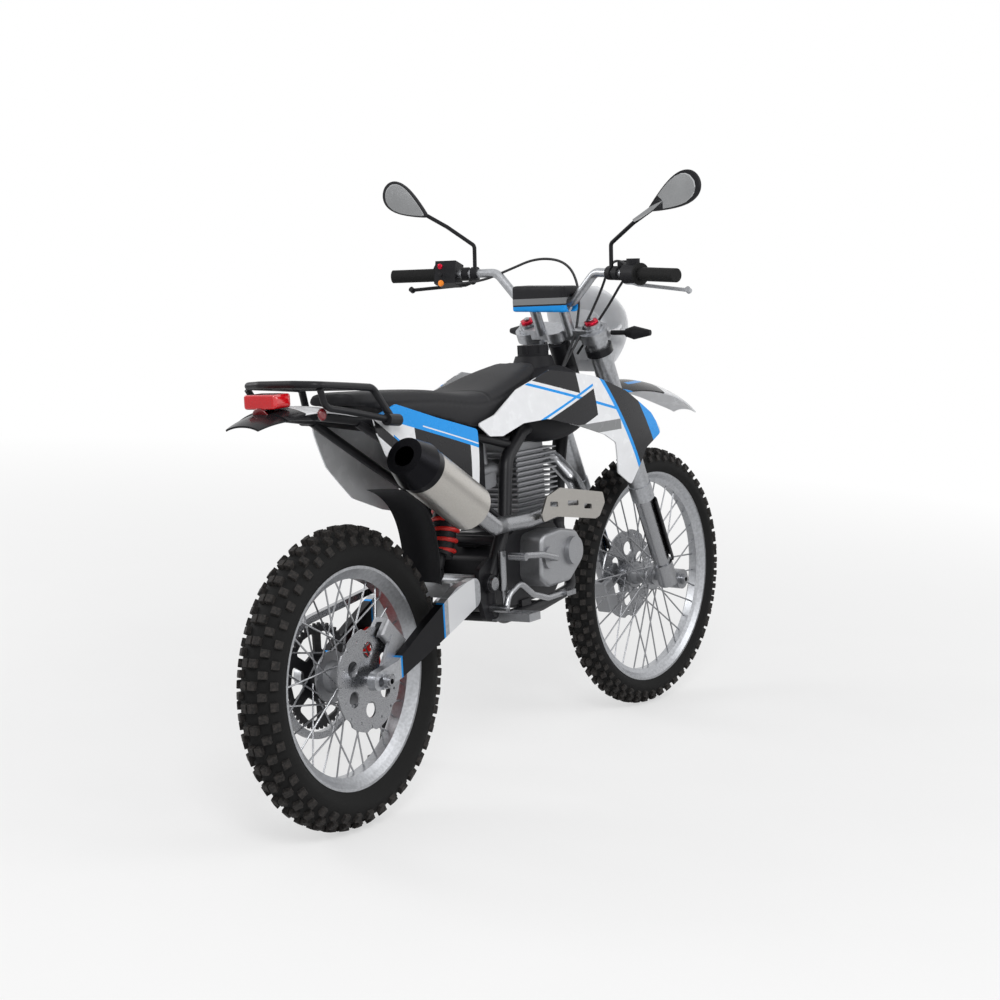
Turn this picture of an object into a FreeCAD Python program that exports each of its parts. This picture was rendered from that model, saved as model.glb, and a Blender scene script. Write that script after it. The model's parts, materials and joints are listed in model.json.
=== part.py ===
"""Motocross bike with road equipment: an assembly of named sub-parts, in millimetres.

The bike is modelled upright in its own frame: X forward from the rear axle, Y to the rider's left,
Z up from the ground. The last step parks it: it leans to the left onto its side stand, and the origin
moves to the middle of its footprint on the floor. Every size below can be changed by itself.
"""
import FreeCAD, Part
import math
import os
from FreeCAD import Vector as V

# ---------------------------------------------------------------- driving dimensions
WHEELBASE = 1340.0
LEAN = 8.0                      # degrees to the left, as it stands on its side stand
STEER_REST = -4.7               # degrees, how far the bars are turned as it stands (+ is left)
RAKE = 26.0                     # degrees from the vertical
RUNNING_GAP = 0.05              # radial clearance of a bore that turns on a shaft
SEAT_GAP = 0.3                  # clearance between soft or curved pieces that rest on each other
MOVING_GAP = 5.0                # least distance between moving pieces

REAR = dict(tyre_r=330.0, tyre_half=56.0, flange_r=241.0, rim_half=33.0, wall=4.0,
            hub_r=31.0, hub_half=46.0, spoke_flange_r=56.0, spoke_flange_y=34.0, spokes=36,
            disc_r=112.0, disc_y=-62.0)
FRONT = dict(tyre_r=345.0, tyre_half=43.0, flange_r=279.5, rim_half=25.5, wall=3.6,
             hub_r=22.0, hub_half=38.0, spoke_flange_r=36.0, spoke_flange_y=29.0, spokes=36,
             disc_r=120.0, disc_y=52.0)
SPOKE_R = 2.0
DISC_THICK = 4.0
AXLE_R = 10.0
AXLE_BORE_R = 6.0
SPROCKET_TIP_R = 116.0
SPROCKET_Y = 69.0
SPROCKET_THICK = 6.0
CHAIN_HEIGHT = 15.0
CHAIN_WIDTH = 14.0
FRONT_SPROCKET_R = 33.0

FORK_SPREAD = 97.0              # leg centre from the middle plane
FORK_OFFSET = 24.0              # legs ahead of the steering axis
AXLE_LEAD = 33.0                # front axle ahead of the legs
FORK_OUTER_R = 27.0
FORK_INNER_R = 21.5
FORK_TOP_Z = 1031.0
FORK_JOIN_Z = 578.0             # lower end of the outer tubes
TOP_CLAMP_Z = 1012.0
LOW_CLAMP_Z = 838.0
HEAD_R = 27.0
STEM_R = 14.0

SWINGARM_PIVOT = (428.0, 470.0)
SWINGARM_IN = 88.0              # inner face of each arm at the axle
ARM_WALL = 20.0
FRAME_TUBE_R = 14.0
SPAR_R = 16.0
PIVOT_SIDE = 94.0               # centre of the frame's uprights beside the swingarm pivot
CASE_HALF = 74.0                # half width of the crankcase
SUB_TUBE_R = 10.0

BAR_R = 11.0
BAR_CLAMP_R = 14.3
BAR_HALF = 420.0
BAR_CENTRE_Z = 1092.0
GRIP_R = 16.5
GRIP_LENGTH = 122.0

MUFFLER_R = 54.0
HEADER_R = 19.0
PANEL_THICK = 3.5
FENDER_THICK = 4.0
RACK_TUBE_R = 8.0
RACK_HALF = 94.0
RACK_FOOT = V(76, -112, 876)

STAND_PIVOT = V(404, 140, 366)
STAND_FOOT = V(436, 236, 0)     # its Z is set by the floor
STAND_R = 11.0
STAND_PAD = (74.0, 46.0, 8.0)
STAND_FOLDED = V(-1, 0.03, 0.10)  # the way the leg points when it is folded

# ---------------------------------------------------------------- worked-out places
rake = math.radians(RAKE)
lean = math.radians(LEAN)
REAR_AXLE = V(0, 0, REAR["tyre_r"])
crown_drop = (REAR["tyre_half"] - FRONT["tyre_half"]) * (1 - math.cos(lean)) / math.cos(lean)
FRONT_AXLE = V(WHEELBASE, 0, FRONT["tyre_r"] + crown_drop)
UP = V(-math.sin(rake), 0, math.cos(rake))          # along the steering axis
AHEAD = V(math.cos(rake), 0, math.sin(rake))        # square to it, forward


def on_legs(z, side=0.0, ahead=0.0):
    """Point on the fork legs' centre line at height z, moved sideways and ahead."""
    foot = FRONT_AXLE - AHEAD * AXLE_LEAD
    at = foot + UP * ((z - foot.z) / UP.z)
    return V(at.x, side, at.z) + AHEAD * ahead


def on_axis(z, ahead=0.0, side=0.0):
    """Point on the steering axis at height z, moved ahead and sideways."""
    foot = FRONT_AXLE - AHEAD * (AXLE_LEAD + FORK_OFFSET)
    at = foot + UP * ((z - foot.z) / UP.z)
    return V(at.x, side, at.z) + AHEAD * ahead


# ---------------------------------------------------------------- shape helpers
def rod(a, b, r):
    return Part.makeCylinder(r, (b - a).Length, a, b - a)


def cone(a, b, ra, rb):
    return Part.makeCone(ra, rb, (b - a).Length, a, b - a)


def box(x0, x1, y0, y1, z0, z1):
    return Part.makeBox(x1 - x0, y1 - y0, z1 - z0, V(x0, y0, z0))


def fuse(*shapes):
    whole = shapes[0].fuse(list(shapes[1:])) if len(shapes) > 1 else shapes[0]
    return whole.removeSplitter()


def mirror(shape):
    return shape.mirror(V(0, 0, 0), V(0, 1, 0))


def pair(shape):
    """The shape and its mirror image on the other side, as solids that don't touch."""
    return Part.makeCompound([shape, mirror(shape)])


def both(shape):
    """The shape joined with its mirror image."""
    return fuse(shape, mirror(shape))


def path(points, radius):
    """Straight runs through the points, joined by tangent arcs of at most that radius."""
    edges = []
    start = points[0]
    for before, at, after in zip(points, points[1:], points[2:]):
        a = (before - at).normalize()
        b = (after - at).normalize()
        half = a.getAngle(b) / 2
        if math.pi / 2 - half < 1e-4:
            continue
        run = 0.49 * min((before - at).Length, (after - at).Length)
        r = min(radius, run * math.tan(half))
        cut = r / math.tan(half)
        p, q = at + a * cut, at + b * cut
        middle = at + (a + b).normalize() * (r / math.sin(half) - r)
        if (p - start).Length > 1e-6:
            edges.append(Part.LineSegment(start, p).toShape())
        edges.append(Part.Arc(p, middle, q).toShape())
        start = q
    edges.append(Part.LineSegment(start, points[-1]).toShape())
    return Part.Wire(edges)


def tube(points, r, bend=40.0):
    points = [V(*p) if not isinstance(p, V) else p for p in points]
    wire = path(points, bend)
    ring = Part.Wire(Part.Circle(points[0], points[1] - points[0], r).toShape())
    sweep = Part.BRepOffsetAPI.MakePipeShell(wire)
    sweep.add(ring)
    sweep.setTransitionMode(1)
    sweep.build()
    sweep.makeSolid()
    return sweep.shape()


def biggest(shape):
    """The largest solid of a shape that a cut may have left in pieces."""
    return max(shape.Solids, key=lambda s: s.Volume)


def first_hit(shape, start, end):
    """Where the line from start to end first meets the shape."""
    inside = shape.common(Part.makeLine(start, end))
    return min((v.Point for v in inside.Vertexes), key=lambda p: (p - start).Length)


def ring_solid(profile, centre):
    """A closed (radius, y) outline turned about the axle through centre."""
    points = [V(centre.x + r, centre.y + y, centre.z) for r, y in profile]
    face = Part.Face(Part.makePolygon(points + [points[0]]))
    return face.revolve(centre, V(0, 1, 0), 360)


def outline(points, y, fillet=0.0):
    """A closed wire in a plane of constant y through (x, z) points, corners rounded."""
    corners = [V(x, y, z) for x, z in points]
    if not fillet:
        return Part.makePolygon(corners + [corners[0]])
    n = len(corners)
    edges, ends = [], []
    for i, at in enumerate(corners):
        a = (corners[i - 1] - at).normalize()
        b = (corners[(i + 1) % n] - at).normalize()
        half = a.getAngle(b) / 2
        run = 0.45 * min((corners[i - 1] - at).Length, (corners[(i + 1) % n] - at).Length)
        r = min(fillet, run * math.tan(half))
        cut = r / math.tan(half)
        middle = at + (a + b).normalize() * (r / math.sin(half) - r)
        ends.append((at + a * cut, middle, at + b * cut))
    for i, (p, middle, q) in enumerate(ends):
        edges.append(Part.Arc(p, middle, q).toShape())
        edges.append(Part.LineSegment(q, ends[(i + 1) % n][0]).toShape())
    return Part.Wire(edges)


def plate(points, y0, y1, fillet=0.0):
    """A flat plate of the (x, z) outline from y0 to y1."""
    return Part.Face(outline(points, y0, fillet)).extrude(V(0, y1 - y0, 0))


def loft(wires, ruled=False):
    return Part.makeLoft(wires, True, ruled)


def hoop(points):
    """A smooth closed wire through the points."""
    curve = Part.BSplineCurve()
    curve.interpolate(Points=points, PeriodicFlag=True)
    return Part.Wire(curve.toShape())


def strip(points, thick):
    """A thin closed wire: an open line of points in a plane of constant x, given a thickness."""
    side = []
    for i, p in enumerate(points):
        a = points[max(i - 1, 0)]
        b = points[min(i + 1, len(points) - 1)]
        along = (b - a).normalize()
        side.append(p + V(0, along.z, -along.y) * thick)
    outer = Part.BSplineCurve()
    outer.interpolate(points)
    inner = Part.BSplineCurve()
    inner.interpolate(list(reversed(side)))
    edges = [outer.toShape(), Part.LineSegment(points[-1], side[-1]).toShape(),
             inner.toShape(), Part.LineSegment(side[0], points[0]).toShape()]
    return Part.Wire(edges)


# ---------------------------------------------------------------- wheels
def tyre(w, centre):
    """The whole tyre to the top of its tread, down to the rim's bead seats."""
    bead_r = w["flange_r"] - 11.0
    bead_y = w["rim_half"] - 6.0
    shoulder = w["tyre_half"]
    crown = w["tyre_r"] - shoulder
    grip = math.radians(62)
    start = (crown + shoulder * math.cos(grip), shoulder * math.sin(grip) + 4)
    wall_r = (w["flange_r"] + w["tyre_r"]) / 2 - 8
    top = [V(centre.x + r, y, centre.z) for r, y in
           (start, (w["tyre_r"], 0), (start[0], -start[1]))]
    side = [(w["flange_r"] + 6, w["rim_half"] + 1), (w["flange_r"] + 1.5, bead_y + 0.5),
            (bead_r, bead_y)]
    edges = [Part.Arc(*top).toShape()]
    left = [V(centre.x + r, -y, centre.z) for r, y in
            [start, (wall_r, shoulder - 2)] + side]
    right = [V(p.x, -p.y, p.z) for p in reversed(left)]
    line = left + right
    edges += [Part.LineSegment(a, b).toShape() for a, b in zip(line, line[1:])]
    return Part.Face(Part.Wire(edges)).revolve(centre, V(0, 1, 0), 360)


def rim(w, centre):
    f, h, t = w["flange_r"], w["rim_half"], w["wall"]
    outer = [(f, h), (f, h - 5), (f - 11.5, h - 6), (f - 12.5, h - 12), (f - 24, h * 0.42)]
    inner = [(f - 24 - t, h * 0.42), (f - 13 - t, h - 10), (f - 6, h)]
    profile = outer + [(r, -y) for r, y in reversed(outer)]
    profile += [(r, -y) for r, y in reversed(inner)] + inner
    return ring_solid(profile, centre)


def spoke_ends(w, number):
    """Hub and rim ends of one spoke, as (angle, radius, y), laced to cross its neighbours."""
    pair_no, lead = divmod(number, 2)
    side = 1 if pair_no % 2 else -1
    step = 2 * math.pi / (w["spokes"] / 2)
    hub_angle = pair_no * step
    turn = math.radians(50) * (1 if lead else -1)
    rim_angle = hub_angle + turn + (0.25 * step if lead else -0.25 * step)
    return side, hub_angle + 0.1 * turn, rim_angle


def spokes(w, centre):
    """All the spokes, from the outer and inner faces of the hub flanges to the rim's well."""
    rods = []
    rim_r = w["flange_r"] - 24 - w["wall"] - 1.0
    for number in range(w["spokes"]):
        side, hub_angle, rim_angle = spoke_ends(w, number)
        y_hub = side * (w["spoke_flange_y"] + (8.0 if number % 2 else -4.8))
        a = centre + V(math.cos(hub_angle), 0, math.sin(hub_angle)) * w["spoke_flange_r"]
        b = centre + V(math.cos(rim_angle), 0, math.sin(rim_angle)) * rim_r
        rods.append(rod(a + V(0, y_hub, 0), b + V(0, side * 5, 0), SPOKE_R))
    return Part.makeCompound(rods)


def hub(w, centre):
    """Barrel with two spoke flanges, bored for the axle."""
    h = w["hub_half"]
    barrel = rod(centre + V(0, -h, 0), centre + V(0, h, 0), w["hub_r"])
    waist = cone(centre, centre + V(0, h - 8, 0), w["hub_r"] * 0.85, w["hub_r"] + 6)
    parts = [barrel, waist, mirror(waist)]
    for side in (-1, 1):
        y = side * w["spoke_flange_y"]
        parts.append(rod(centre + V(0, y - 2.5, 0), centre + V(0, y + 2.5, 0),
                         w["spoke_flange_r"] + 1))
    return fuse(*parts)


def bored(shape, centre, half, r=AXLE_R + RUNNING_GAP):
    return shape.cut(rod(centre + V(0, -half, 0), centre + V(0, half, 0), r))


def brake_disc(w, centre, holes):
    """Rotor with a wavy edge, windows and a carrier that reaches the hub."""
    y, r = w["disc_y"], w["disc_r"]
    out = math.copysign(1, y)
    base = centre + V(0, y, 0)
    disc = rod(base, base + V(0, out * DISC_THICK, 0), r)
    waves = 8
    for i in range(waves):
        a = 2 * math.pi * i / waves
        bite = base + V(math.cos(a), 0, math.sin(a)) * (r + 22)
        disc = disc.cut(rod(bite - V(0, 9, 0), bite + V(0, 9, 0), 28))
    arms = 6
    for i in range(arms):
        a = 2 * math.pi * (i + 0.5) / arms
        at = base + V(math.cos(a), 0, math.sin(a)) * (r * 0.575)
        disc = disc.cut(rod(at - V(0, 9, 0), at + V(0, 9, 0), r * 0.155))
    for i in range(holes):
        a = 2 * math.pi * i / holes
        at = base + V(math.cos(a), 0, math.sin(a)) * (r * (0.84 if i % 2 else 0.9))
        disc = disc.cut(rod(at - V(0, 9, 0), at + V(0, 9, 0), 3.2))
    inner = centre + V(0, out * (w["hub_half"] + SEAT_GAP), 0)
    boss = rod(inner, base + V(0, out * DISC_THICK, 0), w["hub_r"] + 8)
    return bored(fuse(disc, boss), centre, 2 * abs(y))


def sprocket():
    """Rear chain wheel with teeth and six windows."""
    teeth = 47
    y = SPROCKET_Y - SPROCKET_THICK / 2
    points = []
    for i in range(teeth):
        for share, r in ((0.0, SPROCKET_TIP_R), (0.22, SPROCKET_TIP_R),
                         (0.42, SPROCKET_TIP_R - 7), (0.8, SPROCKET_TIP_R - 7)):
            a = 2 * math.pi * (i + share) / teeth
            points.append((r * math.cos(a), REAR_AXLE.z + r * math.sin(a)))
    wheel = plate(points, y, y + SPROCKET_THICK)
    for i in range(6):
        a = 2 * math.pi * i / 6
        window = [(rad * math.cos(a + t), REAR_AXLE.z + rad * math.sin(a + t))
                  for rad, t in ((58, -0.33), (98, -0.40), (100, 0), (98, 0.40), (58, 0.33))]
        wheel = wheel.cut(plate(window, y - 1, y + SPROCKET_THICK + 1, 8))
    start = REAR_AXLE + V(0, REAR["hub_half"] + SEAT_GAP, 0)
    boss = rod(start, REAR_AXLE + V(0, y + SPROCKET_THICK, 0), REAR["hub_r"] + 12)
    return bored(fuse(wheel, boss), REAR_AXLE, 200)


# ---------------------------------------------------------------- frame and rear suspension
def frame_tubes(grow=0.0):
    """The right half's tubes and plates and the cross tubes, each grown by the same amount."""
    px, pz = SWINGARM_PIVOT
    side = -PIVOT_SIDE
    spar = tube([on_axis(925, -4, -12), (905, -26, 884), (820, -62, 838), (640, -78, 800),
                 (555, -84, 740), (520, side, 600), (px + 22, side, pz + 14)], SPAR_R + grow, 60)
    down = tube([on_axis(900, -8), (960, 0, 800), (925, 0, 680), (905, 0, 520)], SPAR_R + 3 + grow, 90)
    cradle = tube([(908, 0, 560), (896, -30, 470), (852, -66, 392), (700, -70, 374),
                   (520, -78, 374), (px + 16, side, 402), (px + 8, side, pz)],
                  FRAME_TUBE_R + grow, 46)
    seat_rail = tube([(585, -76, 772), (470, -70, 800), (250, -62, 842), (20, -58, 880),
                      (-120, -56, 902)], SUB_TUBE_R + grow, 60)
    stay = tube([(512, -90, 600), (440, -76, 660), (220, -66, 770), (20, -59, 876)],
                SUB_TUBE_R + grow, 60)
    pivot_plate = plate([(px - 34, pz + 34), (px + 24, pz + 62), (px + 52, pz + 10),
                         (px + 40, pz - 84), (px - 12, pz - 88), (px - 34, pz - 30)],
                        side - 4 - grow, side + 8 + grow, 16)
    boss = rod(V(px, side + 9 + grow, pz), V(px, side - 17 - grow, pz), 21 + grow)
    across = [rod(V(x, -y, z), V(x, y, z), r + grow) for x, y, z, r in
              ((492, 86, 560, 11), (480, 84, 382, 11), (300, 60, 842, 9), (-90, 56, 897, 8),
               (700, 70, 374, 11))]
    return [spar, cradle, pivot_plate, boss, seat_rail, stay], [down] + across


def main_frame():
    """Head tube, twin spars, down tube, cradles, pivot plates and the rear sub-frame."""
    px, pz = SWINGARM_PIVOT
    gap = MOVING_GAP + 1
    head = rod(on_axis(LOW_CLAMP_Z + 14 + gap), on_axis(TOP_CLAMP_Z - 14 - gap), HEAD_R)
    half, middle = frame_tubes()
    half = fuse(*half)
    guard_top = first_hit(rear_fender(), V(-90, 0, 860), V(-90, 0, 1000))
    post = rod(V(-90, 0, 897), guard_top - V(0, 0, 1.0), 5)
    frame = fuse(head, half, mirror(half), *middle, post)
    frame = frame.cut(rod(on_axis(LOW_CLAMP_Z - 40), on_axis(TOP_CLAMP_Z + 60),
                          STEM_R + RUNNING_GAP))
    return frame.cut(rod(V(px, -130, pz), V(px, 130, pz), 9.5))


def off_frame(shape):
    """The shape with room for the frame's tubes cut out of it, so it is seated on them."""
    half, middle = frame_tubes(SEAT_GAP)
    for solid in half:
        shape = shape.cut(solid)
        shape = shape.cut(mirror(solid))
    for solid in middle:
        shape = shape.cut(solid)
    return shape


def swingarm():
    """Two tapering arms joined at the pivot, with axle plates at the rear."""
    px, pz = SWINGARM_PIVOT
    az = REAR_AXLE.z
    y = -SWINGARM_IN
    arm_points = [(-38, az + 20), (52, az + 34), (150, az + 86), (290, pz + 14), (px - 46, pz + 26),
                  (px - 46, pz - 36), (280, az + 66), (150, az + 22), (60, az - 6), (-38, az - 20)]
    arm = plate(arm_points, y - ARM_WALL, y, 22)
    slot = plate([(-24, az + 10), (34, az + 10), (34, az - 10), (-24, az - 10)], y - 60, y + 20, 9.8)
    block = box(-12, 14, y - ARM_WALL - 3, y + 1, az - 17, az + 17)
    nose = plate([(px - 90, pz + 14), (px + 19, pz + 16), (px + 19, pz - 16), (px - 90, pz - 24)],
                 -78, -52, 14)
    bridge = box(px - 90, px - 60, y - ARM_WALL + 2, -52, pz - 24, pz + 14)
    side = fuse(arm.cut(slot), block, nose, bridge)
    cross = box(px - 96, px - 60, -60, 60, pz - 20, pz + 14)
    tube_across = rod(V(px, -78, pz), V(px, 78, pz), 19)
    whole = fuse(side, mirror(side), cross, tube_across)
    return bored(whole, REAR_AXLE, 200, AXLE_R + RUNNING_GAP).cut(
        rod(V(px, -120, pz), V(px, 120, pz), 9.5))


def rear_axle():
    """Hollow wheel spindle with its nuts."""
    inner = SWINGARM_IN + ARM_WALL + 3 + SEAT_GAP
    half = inner + 14
    bar = rod(REAR_AXLE + V(0, -half, 0), REAR_AXLE + V(0, half, 0), AXLE_R)
    nuts = [rod(REAR_AXLE + V(0, s * inner, 0), REAR_AXLE + V(0, s * (inner + 11), 0), 15)
            for s in (-1, 1)]
    return bored(fuse(bar, *nuts), REAR_AXLE, 200, AXLE_BORE_R)


def pivot_bolt():
    px, pz = SWINGARM_PIVOT
    seat_y = PIVOT_SIDE + 17 + SEAT_GAP
    bolt = rod(V(px, -seat_y, pz), V(px, seat_y, pz), 9.45)
    heads = [rod(V(px, s * seat_y, pz), V(px, s * (seat_y + 8), pz), 15) for s in (-1, 1)]
    return fuse(bolt, *heads)


def rear_shock():
    """Damper with its spring's envelope, from the swingarm's cross piece up to the frame."""
    low = V(362, 0, SWINGARM_PIVOT[1] + 14 + 17 + SEAT_GAP)
    high = V(476, 0, 738)
    along = (high - low).normalize()
    body = rod(low + along * 10, high - along * 10, 18)
    coil = rod(low + along * 50, high - along * 50, 31)
    eyes = [rod(p + V(0, -14, 0), p + V(0, 14, 0), 17) for p in (low, high)]
    seats = [rod(low + along * 42, low + along * 51, 33), rod(high - along * 51, high - along * 38, 33)]
    return fuse(body, coil, *eyes, *seats)


def drive_chain():
    """One fixed loop round both sprockets' pitch lines, clear of the teeth."""
    r_big = SPROCKET_TIP_R + MOVING_GAP
    r_small = FRONT_SPROCKET_R + MOVING_GAP
    big = V(REAR_AXLE.x, 0, REAR_AXLE.z)
    small = V(SWINGARM_PIVOT[0] + 72, 0, SWINGARM_PIVOT[1] + 6)
    span = small - big
    tilt = math.atan2(span.z, span.x)
    spread = math.acos((r_big - r_small) / span.Length)

    def loop(grow, y):
        def at(c, r, angle):
            return V(c.x + r * math.cos(angle), y, c.z + r * math.sin(angle))
        rb, rs = r_big + grow, r_small + grow
        b0, b1 = at(big, rb, tilt + spread), at(big, rb, tilt - spread)
        s0, s1 = at(small, rs, tilt + spread), at(small, rs, tilt - spread)
        return Part.Wire([Part.Arc(b0, at(big, rb, tilt + math.pi), b1).toShape(),
                          Part.LineSegment(b1, s1).toShape(),
                          Part.Arc(s1, at(small, rs, tilt), s0).toShape(),
                          Part.LineSegment(s0, b0).toShape()])

    y = SPROCKET_Y - CHAIN_WIDTH / 2
    outer = Part.Face(loop(CHAIN_HEIGHT, y)).extrude(V(0, CHAIN_WIDTH, 0))
    inner = Part.Face(loop(0, y - 1)).extrude(V(0, CHAIN_WIDTH + 2, 0))
    return outer.cut(inner)


def chain_guide():
    """Slotted block under the left arm that the lower chain run passes through."""
    az = REAR_AXLE.z
    y = SPROCKET_Y
    out = CHAIN_WIDTH / 2 + 3
    outer = plate([(128, az - 66), (212, az - 26), (202, az + 30), (120, az - 12)], y - out - 4,
                  y + out + 4, 10)
    slot = plate([(80, az - 78), (260, az + 8), (250, az + 40), (70, az - 46)], y - out, y + out)
    hanger = plate([(132, az - 18), (204, az + 16), (214, az + 74), (156, az + 52)], y + out + 0.5,
                   y + out + 4, 8)
    foot = plate([(158, az + 40), (204, az + 52), (212, az + 72), (158, az + 52)], y + out + 0.5,
                 SWINGARM_IN - SEAT_GAP, 3)
    return biggest(fuse(outer.cut(slot), hanger, foot))


def caliper(centre, disc_y, r, angle, bracket):
    """Brake caliper that straddles a disc's edge, on a bracket plate between two y values."""
    out = math.copysign(1, disc_y)
    slot_half = DISC_THICK / 2 + MOVING_GAP
    half = slot_half + 14
    middle = centre + V(0, disc_y + out * DISC_THICK / 2, 0)
    body = box(-22, 22, -half, half, -42, 42)
    body = body.makeFillet(6, [e for e in body.Edges if abs(e.Vertexes[0].Point.y
                                                            - e.Vertexes[-1].Point.y) < 1e-6])
    body = body.cut(box(-44, 4 + MOVING_GAP + 2, -slot_half, slot_half, -60, 60))
    plate_in, plate_out, target = bracket
    place = FreeCAD.Placement(middle + V(math.cos(math.radians(angle)), 0,
                                         math.sin(math.radians(angle))) * (r - 4),
                              FreeCAD.Rotation(V(0, 1, 0), -angle))
    body.Placement = place
    start = place.Base
    run = V(target.x - start.x, 0, target.z - start.z)
    arm = box(0, run.Length, plate_in, plate_out, -15, 15)
    arm.Placement = FreeCAD.Placement(V(start.x, 0, start.z),
                                      FreeCAD.Rotation(V(0, 1, 0),
                                                       -math.degrees(math.atan2(run.z, run.x))))
    tip = rod(V(target.x, plate_in, target.z), V(target.x, plate_out, target.z), 15)
    return fuse(body, arm, tip)


# ---------------------------------------------------------------- engine and exhaust
def crankcase():
    """Case halves with the gearbox behind the crank, its output shaft and its mounting lugs."""
    w = CASE_HALF
    front = plate([(575, 394), (760, 396), (806, 440), (812, 520), (770, 566), (620, 572),
                   (575, 568)], -w, w, 22)
    back = plate([(500, 400), (600, 392), (600, 566), (540, 558), (486, 520), (480, 440)],
                 -w, 54, 18)
    neck = plate([(620, 560), (790, 560), (790, 586), (620, 586)], -62, 62)
    px, pz = SWINGARM_PIVOT
    shaft = V(px + 72, 0, pz + 6)
    output = rod(shaft + V(0, 50, 0), shaft + V(0, SPROCKET_Y + 6, 0), 12)
    small_wheel = rod(shaft + V(0, SPROCKET_Y - 3, 0), shaft + V(0, SPROCKET_Y + 3, 0),
                      FRONT_SPROCKET_R + MOVING_GAP - SEAT_GAP)
    lug = plate([(476, 560), (500, 540), (560, 548), (560, 572), (500, 576)], -24, 24, 6)
    feet = [box(600, 640, s * 72 - 8, s * 72 + 8, 380, 402) for s in (-1, 1)]
    front_lug = plate([(790, 440), (884, 462), (884, 482), (790, 500)], -40, 40, 4)
    case = fuse(front, back, neck, output, small_wheel, lug, *feet, front_lug)
    return biggest(off_frame(case))


def engine_covers():
    """Clutch cover on the right and generator cover on the left."""
    w = CASE_HALF + SEAT_GAP
    right = plate([(606, 454), (646, 428), (742, 430), (800, 470), (808, 512), (778, 548),
                   (706, 562), (616, 556)], -134, -w, 24)
    right = right.makeFillet(9, [e for e in right.Edges if all(abs(v.Point.y + 134) < 1e-6
                                                               for v in e.Vertexes)])
    bulge = rod(V(750, -146, 502), V(750, -120, 502), 34)
    boss = rod(V(640, -142, 500), V(640, -120, 500), 26)
    right = fuse(right, bulge, boss)
    left = rod(V(716, w, 488), V(716, 118, 488), 70)
    left = left.makeFillet(10, [e for e in left.Edges if e.Vertexes[0].Point.y > 117])
    nose = rod(V(716, 110, 488), V(716, 126, 488), 40)
    shaft_cover = plate([(580, 440), (660, 440), (660, 540), (580, 530)], w, 104, 16)
    left = fuse(left, nose, shaft_cover)
    return Part.makeCompound([right, left])


CYLINDER_BASE = (708, 0, 586 + SEAT_GAP)
PORT_ALONG = V(1, 0, 0.1).normalize()
PORT_END = V(*CYLINDER_BASE) + V(60, -14, 128) + PORT_ALONG * 34


def cylinder():
    """Finned barrel and head on the crankcase's neck."""
    base = V(*CYLINDER_BASE)
    core = Part.makeBox(124, 108, 182)
    core.translate(V(-62, -54, 0))
    blocks = [core]
    fins = 13
    for i in range(fins):
        z = 14 + i * 12.2
        grow = 1.0 if i > 3 else 0.86 + 0.035 * i
        length, width = 178 * grow, 150 * grow
        fin = Part.makeBox(length, width, 3.4)
        fin.translate(V(-length / 2, -width / 2, z))
        blocks.append(fin)
    cover = Part.makeBox(132, 96, 26)
    cover.translate(V(-66, -48, 176))
    cover = cover.makeFillet(10, [e for e in cover.Edges
                                  if min(v.Point.z for v in e.Vertexes) > 200])
    caps = [Part.makeCylinder(17, 8, V(x, 0, 199)) for x in (-36, 36)]
    whole = fuse(*blocks, cover, *caps)
    port = Part.makeCylinder(24, 34, V(60, -14, 128), V(1, 0, 0.1))
    inlet = Part.makeCylinder(22, 40, V(-60, 0, 124), V(-1, 0, 0))
    whole = fuse(whole, port, inlet)
    return whole.translated(base)


def carburettor():
    """Carburettor body with its float bowl and top, and the rubber to the air box."""
    body = rod(V(608 - SEAT_GAP, 0, 710.3), V(546, 0, 710.3), 26)
    top = rod(V(574, 0, 712), V(562, 0, 782), 20)
    bowl = plate([(548, 668), (600, 674), (600, 708), (548, 702)], -26, 26, 8)
    trumpet = rod(V(550, 0, 702), V(512, 0, 702), 26)
    return fuse(body, top, bowl, trumpet)


def air_box():
    """Air box under the seat, behind the carburettor and round the damper."""
    shell = plate([(330, 690), (470, 640), (512 - SEAT_GAP, 640), (512 - SEAT_GAP, 790),
                   (360, 806), (300, 800)], -52, 52, 12)
    return biggest(off_frame(shell.cut(rod(V(330, 0, 439), V(530, 0, 847), 35))))


def exhaust_header():
    """Pipe from the port, forward and down, then back along the right side to the silencer."""
    return tube([PORT_END + PORT_ALONG * SEAT_GAP, PORT_END + PORT_ALONG * 62, (884, -70, 652),
                 (850, -114, 612), (700, -126, 606), (560, -132, 600), (440, -134, 604),
                 MUFFLER_FRONT + MUFFLER_ALONG * 80, MUFFLER_FRONT + MUFFLER_ALONG * SEAT_GAP],
                HEADER_R, 46)


MUFFLER_FRONT = V(282, -176, 652)
MUFFLER_REAR = V(14, -180, 806)
MUFFLER_ALONG = (MUFFLER_FRONT - MUFFLER_REAR).normalize()


def muffler():
    """Silencer can with a tapered inlet, an open-mouthed end cap and its hanger."""
    f, r = MUFFLER_FRONT, MUFFLER_REAR
    back = (r - f).normalize()
    can = rod(f + back * 36, r - back * 52, MUFFLER_R)
    inlet = cone(f, f + back * 36, HEADER_R + 5, MUFFLER_R)
    cap = cone(r - back * 52, r, MUFFLER_R + 1.5, MUFFLER_R - 12)
    mouth = rod(r - back * 60, r + back * 4, 23)
    hanger = tube([(180, -136, 698), (180, -86, 700), (190, -67, 792)], 6, 16)
    return fuse(can, inlet, cap, biggest(off_frame(hanger))).cut(mouth)


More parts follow.
